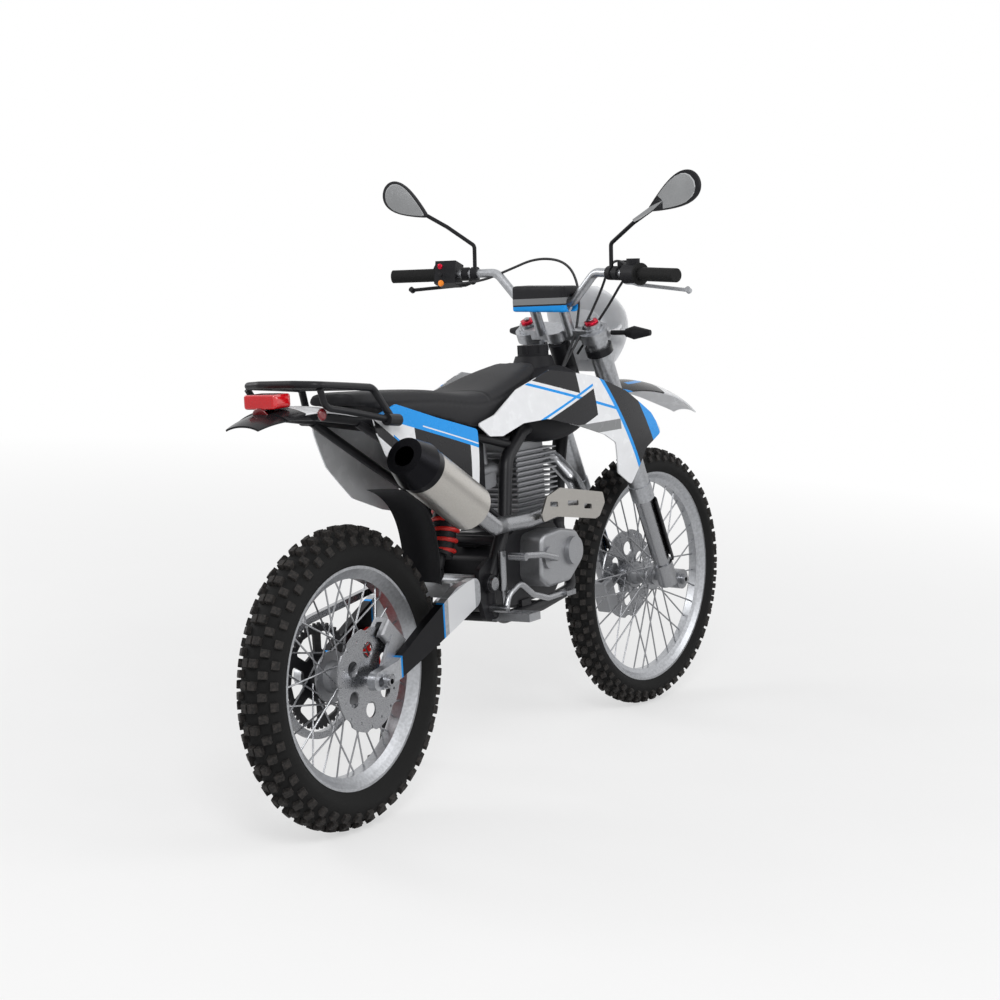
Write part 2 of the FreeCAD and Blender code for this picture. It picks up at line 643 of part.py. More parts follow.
def heat_shield():
    """Slotted guard bowed round the outside of the header."""
    points = [(574, 612), (600, 650), (660, 664), (860, 630), (868, 604), (840, 574), (820, 570),
              (640, 598), (580, 592)]
    shell = plate(points, -164, -160, 8)
    for x0, x1, z in ((612, 648, 630), (692, 742, 622), (768, 804, 606)):
        shell = shell.cut(plate([(x0, z - 5), (x1, z - 10), (x1, z + 2), (x0, z + 7)],
                                -175, -150, 4))
    legs = [rod(V(x, -161, z), V(x, -y - HEADER_R - 0.5, z), 5)
            for x, y, z in ((600, 130.4, 602), (832, 116, 611))]
    return fuse(shell, *legs)


# ---------------------------------------------------------------- bodywork
def seat():
    """Long saddle: flat at the back, dipped in the middle, rising to the tank."""
    rows = [(10, 56, 936, 912), (60, 66, 938, 904), (150, 80, 934, 884), (280, 90, 926, 860),
            (400, 97, 911, 832), (500, 99, 911, 836), (590, 92, 927, 864), (670, 78, 943, 898),
            (745, 58, 956, 926)]
    wires = []
    for x, half, top, low in rows:
        deep = top - low
        pts = [V(x, y * half, z) for y, z in
               ((0, top), (0.55, top - 0.02 * deep), (0.9, top - 0.16 * deep), (1.0, top - 0.55 * deep),
                (0.99, low), (0, low), (-0.99, low), (-1.0, top - 0.55 * deep),
                (-0.9, top - 0.16 * deep), (-0.55, top - 0.02 * deep))]
        upper = Part.BSplineCurve()
        upper.interpolate([pts[i] for i in (6, 7, 8, 9, 0, 1, 2, 3, 4)])
        base = Part.LineSegment(pts[4], pts[6]).toShape()
        wires.append(Part.Wire([upper.toShape(), base]))
    feet = box(286, 314, -56, 56, 846, 880)
    return biggest(off_frame(fuse(loft(wires), feet)))


def fuel_tank():
    """Tank over the spars, wide in the knees and narrow at the steering head."""
    rows = [(600, 62, 880, 834), (680, 104, 898, 776), (760, 132, 930, 762), (840, 138, 946, 770),
            (890, 122, 936, 792), (925, 54, 906, 850)]
    wires = []
    for x, half, top, low in rows:
        deep = top - low
        wires.append(hoop([V(x, y * half, z) for y, z in
                           ((0, top), (0.5, top - 0.04 * deep), (0.84, top - 0.22 * deep),
                            (1.0, top - 0.55 * deep), (0.9, top - 0.86 * deep), (0.45, low),
                            (0, low + 0.02 * deep), (-0.45, low), (-0.9, top - 0.86 * deep),
                            (-1.0, top - 0.55 * deep), (-0.84, top - 0.22 * deep),
                            (-0.5, top - 0.04 * deep))]))
    neck = cone(V(836, 0, 930), V(836, 0, 966), 58, 44)
    under = box(560, 960, -56, 56, 700, 822)
    head_room = rod(on_axis(780), on_axis(1000), 84)
    return biggest(off_frame(fuse(loft(wires), neck).cut(under).cut(head_room)).cut(
        seat_nose_room()))


def seat_nose_room():
    """The seat's nose, grown by a small gap, cut out of the tank where it overlaps."""
    wires = []
    for x, half, top, low in ((560, 99, 960, 846), (670, 82, 970, 898), (745, 64, 980, 920)):
        wires.append(Part.makePolygon([V(x, -half, low), V(x, half, low), V(x, half, top + 40),
                                       V(x, -half, top + 40), V(x, -half, low)]))
    return loft(wires, True)


def fuel_cap():
    base = V(836, 0, 966 + SEAT_GAP)
    cap = rod(base, base + V(0, 0, 26), 38)
    for i in range(8):
        a = 2 * math.pi * i / 8
        at = base + V(math.cos(a), 0, math.sin(0)) * 0 + V(44 * math.cos(a), 44 * math.sin(a), 6)
        cap = cap.cut(rod(at, at + V(0, 0, 30), 10))
    return cap


def curved_slab(stations, thick):
    """A bowed sheet: at each x a line of (y, z) points, given a thickness towards the middle."""
    return loft([strip([V(x, y, z) for y, z in line], thick) for x, line in stations])


def shroud():
    """Right tank shroud: a bowed sheet trimmed to its outline, with a boss against the tank."""
    stations = []
    for x, y0 in ((400, -117), (520, -127), (640, -142), (780, -158), (900, -166), (1010, -168),
                  (1100, -165), (1200, -158)):
        stations.append((x, [(y0 + 8, 600), (y0 - 2, 700), (y0, 790), (y0 + 8, 860),
                             (y0 + 30, 960)]))
    sheet = curved_slab(stations, PANEL_THICK)
    trim = plate([(402, 836), (424, 842), (470, 852), (566, 902), (700, 938), (790, 926), (872, 912),
                  (1006, 866), (1128, 800), (1182, 748), (1086, 716), (1004, 632), (936, 668),
                  (928, 744), (880, 768), (770, 800), (660, 826), (570, 824), (488, 802), (440, 806)],
                 -260, -60, 12)
    panel = sheet.common(trim)
    x, z = 836, 849
    inside = first_hit(panel, V(x, 0, z), V(x, -260, z))
    tank_side = first_hit(fuel_tank(), V(x, -260, z), V(x, 0, z))
    return fuse(panel, rod(inside - V(0, 1, 0), tank_side - V(0, 0.5, 0), 6))


def side_panel(right):
    """Panel under the seat, behind the frame's upright; the right one stops behind the silencer."""
    stations = []
    for x, y0 in ((20, -86), (120, -98), (240, -107), (340, -111), (470, -108)):
        stations.append((x, [(y0 + 6, 610), (y0 - 2, 700), (y0 - 3, 790), (y0 + 3, 860),
                             (y0 + 12, 940)]))
    sheet = curved_slab(stations, PANEL_THICK)
    if right:
        low = [(306, 658), (240, 704), (150, 754), (70, 800), (50, 850)]
    else:
        low = [(322, 650), (206, 690), (110, 770), (60, 846)]
    trim = plate([(44, 884), (120, 906), (250, 866), (400, 826), (398, 790), (390, 636)] + low,
                 -220, -60, 10)
    panel = sheet.common(trim)
    x, z = 250, 842
    inside = first_hit(panel, V(x, -60, z), V(x, -200, z))
    boss = rod(inside - V(0, 1, 0), V(x, -66, z), 6)
    panel = fuse(panel, biggest(off_frame(boss)))
    bolt = rod(V(RACK_FOOT.x, -200, RACK_FOOT.z), V(RACK_FOOT.x, 0, RACK_FOOT.z), 8)
    panel = panel.cut(bolt)
    return panel if right else mirror(panel)


def fender(stations):
    """A bowed mudguard: at each (x, z) a half width and how far its edges drop."""
    wires = []
    for x, z, half, drop in stations:
        wires.append(strip([V(x, y * half, z - drop * abs(y) ** 2.2)
                            for y in (-1, -0.66, -0.33, 0, 0.33, 0.66, 1)], FENDER_THICK))
    return loft(wires)


def rear_fender():
    """Mudguard over the sub-frame's tail, with the number plate holder behind the lamp."""
    guard = fender([(60, 897, 66, 10), (0, 906, 72, 12), (-120, 923, 74, 12), (-215, 918, 62, 16)])
    tail = fender([(-212, 917, 58, 16), (-250, 909, 50, 12), (-285, 897, 42, 8)])
    return fuse(guard, tail)


def inner_mudguard():
    """Black guard between the rear wheel and the shock, standing on the swingarm."""
    wires = []
    for z, x in ((SWINGARM_PIVOT[1] + 14 + SEAT_GAP, 334), (520, 334), (590, 326), (650, 300),
                 (690, 258), (712, 208)):
        half = 50
        line = [V(x - 24 * abs(y) ** 2, y * half, z) for y in (-1, -0.5, 0, 0.5, 1)]
        back = [p + V(3.5, 0, 0) for p in reversed(line)]
        a, b = Part.BSplineCurve(), Part.BSplineCurve()
        a.interpolate(line)
        b.interpolate(back)
        wires.append(Part.Wire([a.toShape(), Part.LineSegment(line[-1], back[0]).toShape(),
                                b.toShape(), Part.LineSegment(back[-1], line[0]).toShape()]))
    return loft(wires)


def luggage_rack():
    """Carrier of bent tube on two side frames that bolt to the sub-frame."""
    half = RACK_HALF
    foot = RACK_FOOT
    rail = tube([foot, (34, -half, 948), (-40, -half, 956), (-150, -half, 967),
                 (-168, -half + 50, 970), (-168, 0, 970)], RACK_TUBE_R, 24)
    lower = tube([foot, (-60, -half - 2, 906), (-120, -half + 8, 918), (-146, -half, 960)],
                 RACK_TUBE_R - 1, 40)
    boss = rod(foot + V(20, 0, -2), foot + V(-22, 0, 3), 13)
    bolt = rod(foot, V(foot.x, -60, foot.z), 6)
    half_rack = fuse(rail, lower, boss, biggest(off_frame(bolt)))
    bars = [tube([(26, y, 949), (-40, y, 956), (-162, y, 968)], 5, 60) for y in (-34, 34)]
    across = [rod(V(x, -half, z), V(x, half, z), 6) for x, z in ((24, 949), (-70, 958.6))]
    return fuse(half_rack, mirror(half_rack), *bars, *across)


def tail_lamp():
    """Red lamp on the mudguard's end, with its housing."""
    guard = rear_fender()
    top = max(first_hit(guard, V(x, 0, 1000), V(x, 0, 850)).z for x in (-205, -185))
    shell = box(-228, -172, -42, 42, 924, 954)
    shell = shell.makeFillet(9, [e for e in shell.Edges
                                 if abs(e.Vertexes[0].Point.y - e.Vertexes[-1].Point.y) < 1e-6])
    foot = box(-205, -185, -20, 20, top + SEAT_GAP, 928)
    shell = shell.cut(box(-240, -160, -60, 60, 900, top + SEAT_GAP))
    return fuse(shell, foot)


# ---------------------------------------------------------------- controls at the feet
def footpegs():
    """Toothed pegs on brackets, one each side of the cradle."""
    px, pz = SWINGARM_PIVOT
    x, z = px + 48, pz - 80
    tread = box(x - 22, x + 26, -190, -118, z - 10, z + 8)
    window = box(x - 15, x + 19, -184, -124, z - 20, z + 20)
    web = [box(x - 22, x + 26, y - 3, y + 3, z - 8, z + 6) for y in (-166, -142)]
    bracket = box(x - 16, x + 18, -120, -84, z - 12, z + 6)
    peg = fuse(tread.cut(window), *web, biggest(off_frame(bracket)))
    return pair(peg)


def foot_levers():
    """Brake pedal with its master cylinder and kick starter on the right, gear lever on the left."""
    px, pz = SWINGARM_PIVOT
    pedal = tube([(px + 8, -140, pz - 58), (px + 22, -140, pz - 28), (px + 74, -140, pz - 8),
                  (px + 128, -140, pz - 44), (px + 190, -142, pz - 62), (px + 268, -142, pz - 62)],
                 7, 34)
    toe = box(px + 250, px + 292, -158, -128, pz - 68, pz - 56)
    post = biggest(off_frame(rod(V(px + 8, -145, pz - 58), V(px + 8, -94, pz - 58), 9)))
    brake = fuse(pedal, toe, post)
    master = biggest(off_frame(rod(V(px + 34, -PIVOT_SIDE - SPAR_R - 8, pz - 20),
                                   V(px + 36, -PIVOT_SIDE - SPAR_R - 8, pz + 70), 9)))
    rod_down = rod(V(px + 33, -PIVOT_SIDE - SPAR_R - 8, pz - 58),
                   V(px + 34, -PIVOT_SIDE - SPAR_R - 8, pz - 18), 4)
    shift = tube([(px + 160, 104 + SEAT_GAP, pz - 8), (px + 160, 124, pz - 8), (px + 240, 132, pz - 30),
                  (px + 286, 134, pz - 34)], 6, 16)
    shift_toe = rod(V(px + 284, 128, pz - 34), V(px + 284, 162, pz - 34), 8)
    kick = tube([(640, -142 - SEAT_GAP, 500), (640, -160, 500), (560, -166, 520), (470, -168, 530),
                 (430, -168, 534)], 8, 16)
    kick_foot = rod(V(432, -160, 534), V(432, -204, 534), 9)
    return Part.makeCompound([brake, fuse(master, rod_down), fuse(shift, shift_toe),
                              fuse(kick, kick_foot)])


def stand_axis():
    """Hinge axis that swings the parked leg to its folded place."""
    down = (floor_point(STAND_FOOT) - STAND_PIVOT).normalize()
    fold = V(STAND_FOLDED).normalize()
    return down, fold, down.cross(fold).normalize()


def floor_point(p):
    """The point under p on the floor, as the bike's own frame sees it when it leans."""
    sink = REAR["tyre_half"] * (1 - math.cos(lean))
    return V(p.x, p.y, (p.y * math.sin(lean) - sink) / math.cos(lean))


def side_stand():
    """Leg with a fork at its pivot and a flat foot that lies on the floor."""
    foot = floor_point(STAND_FOOT)
    down, _, axis = stand_axis()
    normal = V(0, -math.sin(lean), math.cos(lean))
    length, width, thick = STAND_PAD
    leg = rod(STAND_PIVOT + down * 12, foot + normal * (thick * 0.65), STAND_R)
    collar = rod(STAND_PIVOT - axis * 11, STAND_PIVOT + axis * 11, 19)
    pad = Part.makeBox(length, width, thick)
    pad.translate(V(-length / 2, -width / 2, 0))
    pad = pad.makeFillet(width * 0.3, [e for e in pad.Edges
                                       if abs(e.Vertexes[0].Point.z - e.Vertexes[-1].Point.z) > 1])
    pad.Placement = FreeCAD.Placement(foot, FreeCAD.Rotation(V(0, 0, 1), normal))
    whole = fuse(leg, collar, pad)
    return whole.cut(rod(STAND_PIVOT - axis * 30, STAND_PIVOT + axis * 30, 6 + RUNNING_GAP))


def stand_mount():
    """Fork-shaped bracket on the left upright with the stand's pivot pin."""
    down, fold, axis = stand_axis()
    away = (down + fold).normalize() * -1
    side = axis.cross(away)
    frame_place = FreeCAD.Placement(FreeCAD.Matrix(
        away.x, side.x, axis.x, STAND_PIVOT.x, away.y, side.y, axis.y, STAND_PIVOT.y,
        away.z, side.z, axis.z, STAND_PIVOT.z, 0, 0, 0, 1))
    pin = box(0, 1, 0, 1, 0, 1)
    pin = rod(V(0, 0, -19), V(0, 0, 19), 6)
    ears = [fuse(rod(V(0, 0, s * (11 + SEAT_GAP)), V(0, 0, s * 18), 15),
                 box(0, 40, -13, 13, min(s * (11 + SEAT_GAP), s * 18), max(s * (11 + SEAT_GAP), s * 18)))
            for s in (-1, 1)]
    yoke = box(26, 42, -13, 13, -18, 18)
    fork = fuse(pin, *ears, yoke)
    fork = fork.transformed(frame_place.toMatrix(), True)
    root = frame_place.multVec(V(34, 0, 0))
    arm = rod(root, V(root.x + 6, PIVOT_SIDE - 6, root.z + 6), 9)
    return biggest(off_frame(fuse(fork, arm)))


# ---------------------------------------------------------------- fork and steering
def fork_outer_tubes():
    top, low = on_legs(FORK_TOP_Z, -FORK_SPREAD), on_legs(FORK_JOIN_Z, -FORK_SPREAD)
    leg = rod(low, top, FORK_OUTER_R)
    collar = rod(low, low + UP * 44, FORK_OUTER_R + 2.5)
    cap = rod(top, top + UP * 10, 21)
    return pair(fuse(leg, collar, cap))


def fork_inner_tubes():
    """Stanchions with the cast feet that hold the axle."""
    low = on_legs(FRONT_AXLE.z + 34, -FORK_SPREAD)
    top = on_legs(FORK_JOIN_Z, -FORK_SPREAD) - UP * SEAT_GAP
    leg = rod(low, top, FORK_INNER_R)
    at = V(FRONT_AXLE.x, -FORK_SPREAD, FRONT_AXLE.z)
    foot = rod(at + V(0, -24, 0), at + V(0, 24, 0), 26)
    shoe = rod(on_legs(FRONT_AXLE.z - 6, -FORK_SPREAD), on_legs(FRONT_AXLE.z + 52, -FORK_SPREAD), 26)
    leg = bored(fuse(leg, foot, shoe), FRONT_AXLE, 300)
    return pair(leg)


def front_axle():
    """Hollow wheel spindle with a head at each end."""
    inner = FORK_SPREAD + 24 + SEAT_GAP
    bar = rod(FRONT_AXLE + V(0, -inner - 10, 0), FRONT_AXLE + V(0, inner + 10, 0), AXLE_R)
    heads = [rod(FRONT_AXLE + V(0, s * inner, 0), FRONT_AXLE + V(0, s * (inner + 8), 0), 14)
             for s in (-1, 1)]
    return bored(fuse(bar, *heads), FRONT_AXLE, 200, AXLE_BORE_R)


def triple_clamps():
    """Top and bottom yokes joined by the stem that turns in the head tube, with the bar risers."""
    yokes = []
    for z, thick in ((TOP_CLAMP_Z, 26), (LOW_CLAMP_Z, 30)):
        centre = on_axis(z)
        low = centre - UP * (thick / 2)
        legs = [rod(on_legs(z, s * FORK_SPREAD) - UP * (thick / 2),
                    on_legs(z, s * FORK_SPREAD) + UP * (thick / 2), FORK_OUTER_R + 10) for s in (-1, 1)]
        hub_part = rod(low, low + UP * thick, 26)
        bar = Part.makeBox(46, 2 * FORK_SPREAD, thick)
        bar.translate(V(-6, -FORK_SPREAD, -thick / 2))
        bar.Placement = FreeCAD.Placement(centre, FreeCAD.Rotation(V(0, 1, 0), -RAKE)).multiply(
            bar.Placement)
        yokes.append(fuse(*legs, hub_part, bar))
    stem = rod(on_axis(LOW_CLAMP_Z), on_axis(TOP_CLAMP_Z), STEM_R)
    risers = [rod(on_axis(TOP_CLAMP_Z, 0, s * 44), on_axis(BAR_CENTRE_Z, 0, s * 44), 13)
              for s in (-1, 1)]
    saddle = [rod(on_axis(BAR_CENTRE_Z, 0, s * 44 - 14), on_axis(BAR_CENTRE_Z, 0, s * 44 + 14), 21)
              for s in (-1, 1)]
    whole = fuse(*yokes, stem, *risers, *saddle)
    holes = [rod(on_legs(LOW_CLAMP_Z - 60, s * FORK_SPREAD), on_legs(FORK_TOP_Z + 40, s * FORK_SPREAD),
                 FORK_OUTER_R + RUNNING_GAP) for s in (-1, 1)]
    whole = whole.cut(Part.makeCompound(holes))
    grip_bore = rod(on_axis(BAR_CENTRE_Z, 0, -90), on_axis(BAR_CENTRE_Z, 0, 90),
                    BAR_CLAMP_R + RUNNING_GAP)
    return whole.cut(grip_bore)


def bar_line():
    """Right half of the handlebar's centre line, from the middle outwards."""
    c = on_axis(BAR_CENTRE_Z)
    return [V(c.x, 0, c.z), V(c.x, -78, c.z), V(c.x - 4, -148, 1166), V(836, -BAR_HALF, 1160)]


def handlebar():
    right = tube(bar_line(), BAR_R, 32)
    c = on_axis(BAR_CENTRE_Z)
    thick = rod(V(c.x, -60, c.z), V(c.x, 60, c.z), BAR_CLAMP_R)
    return fuse(right, mirror(right), thick)


def bar_axis():
    a, b = bar_line()[-2:]
    return (b - a).normalize()


def along_grip(distance):
    """Point on the bar's straight end, measured in from its tip."""
    return bar_line()[-1] - bar_axis() * distance


def grips():
    inner = along_grip(GRIP_LENGTH)
    tip = along_grip(-4)
    sleeve = rod(inner, tip, GRIP_R)
    flange = rod(inner, inner + bar_axis() * 5, GRIP_R + 10)
    hole = rod(inner - bar_axis() * 5, along_grip(-SEAT_GAP), BAR_R + SEAT_GAP)
    return pair(fuse(sleeve, flange).cut(hole))


def lever(side):
    """A perch clamped to the bar with its lever blade, on the right side (-1) or the left (1)."""
    out = bar_axis()
    at = along_grip(GRIP_LENGTH + 76)
    ahead = V(0.86, 0, -0.5)
    perch = rod(at - out * 8, at + out * 8, 17)
    arm = rod(at + ahead * 12, at + ahead * 42 + out * 4, 8)
    tip = along_grip(4) + ahead * 74
    knee = at + ahead * 56 + out * 36
    blade = fuse(rod(at + ahead * 36 - out * 4, knee, 5), rod(knee - (tip - knee) * 0.02, tip, 4.5))
    ball = rod(tip - ahead * 7, tip + ahead * 5, 7)
    shape = fuse(perch, arm, blade, ball)
    hole = rod(along_grip(GRIP_LENGTH + 140), along_grip(GRIP_LENGTH), BAR_R + RUNNING_GAP)
    shape = shape.cut(hole)
    return shape if side < 0 else mirror(shape)


def hand_controls():
    """Clutch and brake levers, brake reservoir, throttle housing and the left switch box."""
    out = bar_axis()
    at = along_grip(GRIP_LENGTH + 8)
    hole = rod(at - out * 140, at + out * 60, BAR_R + RUNNING_GAP)
    throttle = rod(at + out * (8 - SEAT_GAP), at - out * 34, 26)
    throttle = fuse(throttle, rod(at - out * 14 + V(0, 0, 16), at - out * 14 + V(0, 0, 36), 16))
    switch = box(-26, 26, -30, 28, -8 + SEAT_GAP, 48)
    switch.Placement = FreeCAD.Placement(at, FreeCAD.Rotation(V(0, 0, 1), out * -1))
    switch = mirror(switch.cut(hole))
    reservoir = along_grip(GRIP_LENGTH + 76) + V(26, 0, 14)
    reservoir = box(reservoir.x - 24, reservoir.x + 24, reservoir.y - 24, reservoir.y + 3,
                    reservoir.z - 14, reservoir.z + 16)
    right = fuse(lever(-1), reservoir).cut(hole)
    return Part.makeCompound([throttle.cut(hole), switch, right, lever(1)])


def mirrors():
    """Stalk-mounted mirrors: a clamp, a bent stalk and a shell shaped like a drop."""
    base = along_grip(GRIP_LENGTH + 100)
    clamp = rod(base - bar_axis() * 8, base + bar_axis() * 8, 17)
    root, middle = base + V(-22, -128, 146), base + V(-34, -196, 182)
    stalk = tube([base + V(0, 0, 12), base + V(0, 0, 70), base + V(-14, -74, 118),
                  root + (middle - root) * 0.6], 5, 12)
    head = mirror_shell(root, middle)
    hole = rod(base - bar_axis() * 60, base + bar_axis() * 60, BAR_R + RUNNING_GAP)
    return pair(fuse(clamp, stalk, head).cut(hole))


def mirror_shell(root, middle):
    """A drop-shaped shell facing back, from its root at the stalk out past its middle."""
    out = (middle - root)
    long_axis = V(0, out.y, out.z).normalize()
    short_axis = V(0, -long_axis.z, long_axis.y)
    length, width = 152.0, 94.0
    centre = root + long_axis * (length * 0.5)
    points = []
    for i in range(24):
        t = 2 * math.pi * i / 24
        along = math.cos(t)
        wide = math.sin(t) * (0.62 + 0.38 * along) * 1.12
        points.append((along * length / 2, wide * width / 2))

    def ring(scale, back):
        return hoop([centre + V(back, 0, 0) + long_axis * (a * scale) + short_axis * (b * scale)
                     for a, b in points])
    return loft([ring(1.0, -12), ring(1.02, -4), ring(0.86, 8), ring(0.5, 18)])


def bar_pad():
    """Foam block over the bar's middle, cut for the bar and its clamps."""
    c = on_axis(BAR_CENTRE_Z)
    block = box(c.x - 40, c.x + 28, -78, 78, c.z - 22, c.z + 42)
    block = block.cut(rod(V(c.x, -100, c.z), V(c.x, 100, c.z), 21.6))
    for s in (-1, 1):
        block = block.cut(box(c.x - 20, c.x + 30, s * 44 - 16, s * 44 + 16, c.z - 40, c.z))
    return biggest(block)


def headlight():
    """Fairing with its lamp, held in front of the fork by two arms from the outer tubes."""
    rows = [(912, 58, 1100, 34), (950, 92, 1122, 46), (1010, 116, 1134, 56), (1060, 120, 1122, 58),
            (1105, 96, 1092, 50), (1128, 58, 1072, 38)]
    wires = []
    for z, half, x, deep in rows:
        wires.append(hoop([V(x, 0, z), V(x - deep * 0.22, half * 0.62, z), V(x - deep * 0.7, half, z),
                           V(x - deep, half * 0.62, z), V(x - deep, 0, z),
                           V(x - deep, -half * 0.62, z), V(x - deep * 0.7, -half, z),
                           V(x - deep * 0.22, -half * 0.62, z)]))
    shell = loft(wires)
    bowl = rod(V(1060, 0, 1008), V(1146, 0, 1008), 68)
    arms = []
    for s in (-1, 1):
        leg = on_legs(974, s * FORK_SPREAD)
        arms.append(tube([leg + AHEAD * (FORK_OUTER_R + 4), V(1010, s * 100, 1010),
                          V(1070, s * 104, 1018), V(1086, s * 104, 1030)], 5, 12))
        clip = rod(leg - UP * 10, leg + UP * 10, FORK_OUTER_R + 7)
        arms.append(clip.cut(rod(leg - UP * 30, leg + UP * 30, FORK_OUTER_R + SEAT_GAP)))
    whole = fuse(shell, bowl, *arms)
    for s in (-1, 1):
        whole = whole.cut(rod(on_legs(800, s * FORK_SPREAD), on_legs(FORK_TOP_Z + 40, s * FORK_SPREAD),
                              FORK_OUTER_R + SEAT_GAP))
    return biggest(whole)


def front_fender():
    """High mudguard bolted under the lower yoke."""
    guard = fender([(1036, 820.5, 46, 6), (1084, 844, 54, 10), (1134, 866, 62, 16),
                    (1200, 879, 70, 24), (1300, 872, 70, 26), (1420, 842, 62, 22),
                    (1500, 808, 50, 16), (1556, 778, 36, 9)])
    base = on_axis(LOW_CLAMP_Z)
    slab = box(-40, 80, -150, 150, -15 - SEAT_GAP, 20)
    slab.Placement = FreeCAD.Placement(base, FreeCAD.Rotation(V(0, 1, 0), -RAKE))
    return biggest(guard.cut(slab))


def fork_guard():
    """Right guard in front of the stanchion."""
    top, low = on_legs(566, -FORK_SPREAD), on_legs(FRONT_AXLE.z + 58, -FORK_SPREAD)
    shell = rod(low, top, FORK_INNER_R + 12)
    shell = shell.cut(rod(low - UP * 5, top + UP * 5, FORK_INNER_R + 8))
    back = Part.makeBox(80, 90, 400)
    back.translate(V(-80 + 4, -45, -60))
    back.Placement = FreeCAD.Placement(low, FreeCAD.Rotation(V(0, 1, 0), -RAKE)).multiply(back.Placement)
    shell = shell.cut(back)
    at = low + UP * 14
    hook = rod(at + AHEAD * (FORK_INNER_R + SEAT_GAP), at + AHEAD * (FORK_INNER_R + 11), 7)
    return fuse(shell, hook)


def front_indicators():
    """Stalk lamps on the headlight's arms."""
    arm_y = 103 + 5 + SEAT_GAP
    start = V(1036, -arm_y, 1013)
    out = V(0.16, -1, 0).normalize()
    stalk = rod(start, start + out * 46, 6)
    lamp = cone(start + out * 40, start + out * 62, 10, 17)
    lamp_end = cone(start + out * 62, start + out * 106, 17, 7)
    return pair(fuse(stalk, lamp, lamp_end))


# ---------------------------------------------------------------- assembly
def assemble():
    rear_caliper = caliper(REAR_AXLE, REAR["disc_y"], REAR["disc_r"], 47,
                           (-SWINGARM_IN + SEAT_GAP, -SWINGARM_IN + 8, REAR_AXLE + V(34, 0, 22)))
    shoe = on_legs(FRONT_AXLE.z + 20, FORK_SPREAD)
    front_caliper = caliper(FRONT_AXLE, FRONT["disc_y"], FRONT["disc_r"], 200,
                            (FORK_SPREAD - 26 - SEAT_GAP - 7, FORK_SPREAD - 26 - SEAT_GAP, shoe))
    frame_parts = dict(
        main_frame=main_frame(), swingarm=swingarm(), rear_axle=rear_axle(),
        pivot_bolt=pivot_bolt(), rear_shock=rear_shock(), crankcase=crankcase(),
        engine_covers=engine_covers(), cylinder=cylinder(), carburettor=carburettor(),
        air_box=air_box(), exhaust_header=exhaust_header(), muffler=muffler(),
        heat_shield=heat_shield(), fuel_tank=fuel_tank(), fuel_cap=fuel_cap(), seat=seat(),
        shrouds=pair(shroud()), side_panels=Part.makeCompound([side_panel(True), side_panel(False)]), rear_fender=rear_fender(),
        inner_mudguard=inner_mudguard(), luggage_rack=luggage_rack(), tail_lamp=tail_lamp(),
        footpegs=footpegs(), foot_levers=foot_levers(), drive_chain=drive_chain(),
        chain_guide=chain_guide(), rear_caliper=rear_caliper, stand_mount=stand_mount())
    rear_parts = dict(
        rear_tyre=tyre(REAR, REAR_AXLE), rear_rim=rim(REAR, REAR_AXLE),
        rear_spokes=spokes(REAR, REAR_AXLE), rear_hub=bored(hub(REAR, REAR_AXLE), REAR_AXLE, 200),
        rear_disc=brake_disc(REAR, REAR_AXLE, 16), rear_sprocket=sprocket())
    front_parts = dict(
        front_tyre=tyre(FRONT, FRONT_AXLE), front_rim=rim(FRONT, FRONT_AXLE),
        front_spokes=spokes(FRONT, FRONT_AXLE),
        front_hub=bored(hub(FRONT, FRONT_AXLE), FRONT_AXLE, 200),
        front_disc=brake_disc(FRONT, FRONT_AXLE, 20))
    steering_parts = dict(
        triple_clamps=triple_clamps(), fork_outer_tubes=fork_outer_tubes(),
        fork_inner_tubes=fork_inner_tubes(), front_axle=front_axle(), handlebar=handlebar(),
        bar_pad=bar_pad(), grips=grips(), hand_controls=hand_controls(), mirrors=mirrors(),
        headlight=headlight(), front_fender=front_fender(), fork_guards=pair(fork_guard()),
        front_caliper=front_caliper, front_indicators=front_indicators())
    turned = FreeCAD.Placement(V(0, 0, 0), FreeCAD.Rotation(UP, STEER_REST), on_axis(700))
    for parts in (front_parts, steering_parts):
        for name in parts:
            parts[name] = parts[name].transformed(turned.toMatrix(), True)
    return dict(frame=frame_parts, rear_wheel=rear_parts, front_wheel=front_parts,
                steering=steering_parts, side_stand=dict(side_stand=side_stand()))


def park(bodies):
    """Leans every shape onto the stand and moves the origin to the middle of the footprint."""
    leaned = FreeCAD.Placement(V(0, 0, REAR["tyre_half"] * (1 - math.cos(lean))),
                               FreeCAD.Rotation(V(1, 0, 0), -LEAN))
    shapes = {}
    for parts in bodies.values():
        for name, shape in parts.items():
            shapes[name] = shape.transformed(leaned.toMatrix(), True)
    room = Part.makeCompound(list(shapes.values())).optimalBoundingBox(False)
    shift = V(-(room.XMin + room.XMax) / 2, -(room.YMin + room.YMax) / 2, 0)
    for name in shapes:
        shapes[name] = shapes[name].translated(shift)
    return shapes, FreeCAD.Placement(shift, FreeCAD.Rotation()).multiply(leaned)


def main():
    os.makedirs("parts", exist_ok=True)
    shapes, _ = park(assemble())
    for name, shape in shapes.items():
        shape.exportStep(f"parts/{name}.step")


if __name__ == "__main__":
    main()
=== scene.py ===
"""Looks for the motocross bike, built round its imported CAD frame."""
import json
import math
import random

import bpy
from mathutils import Matrix, Vector


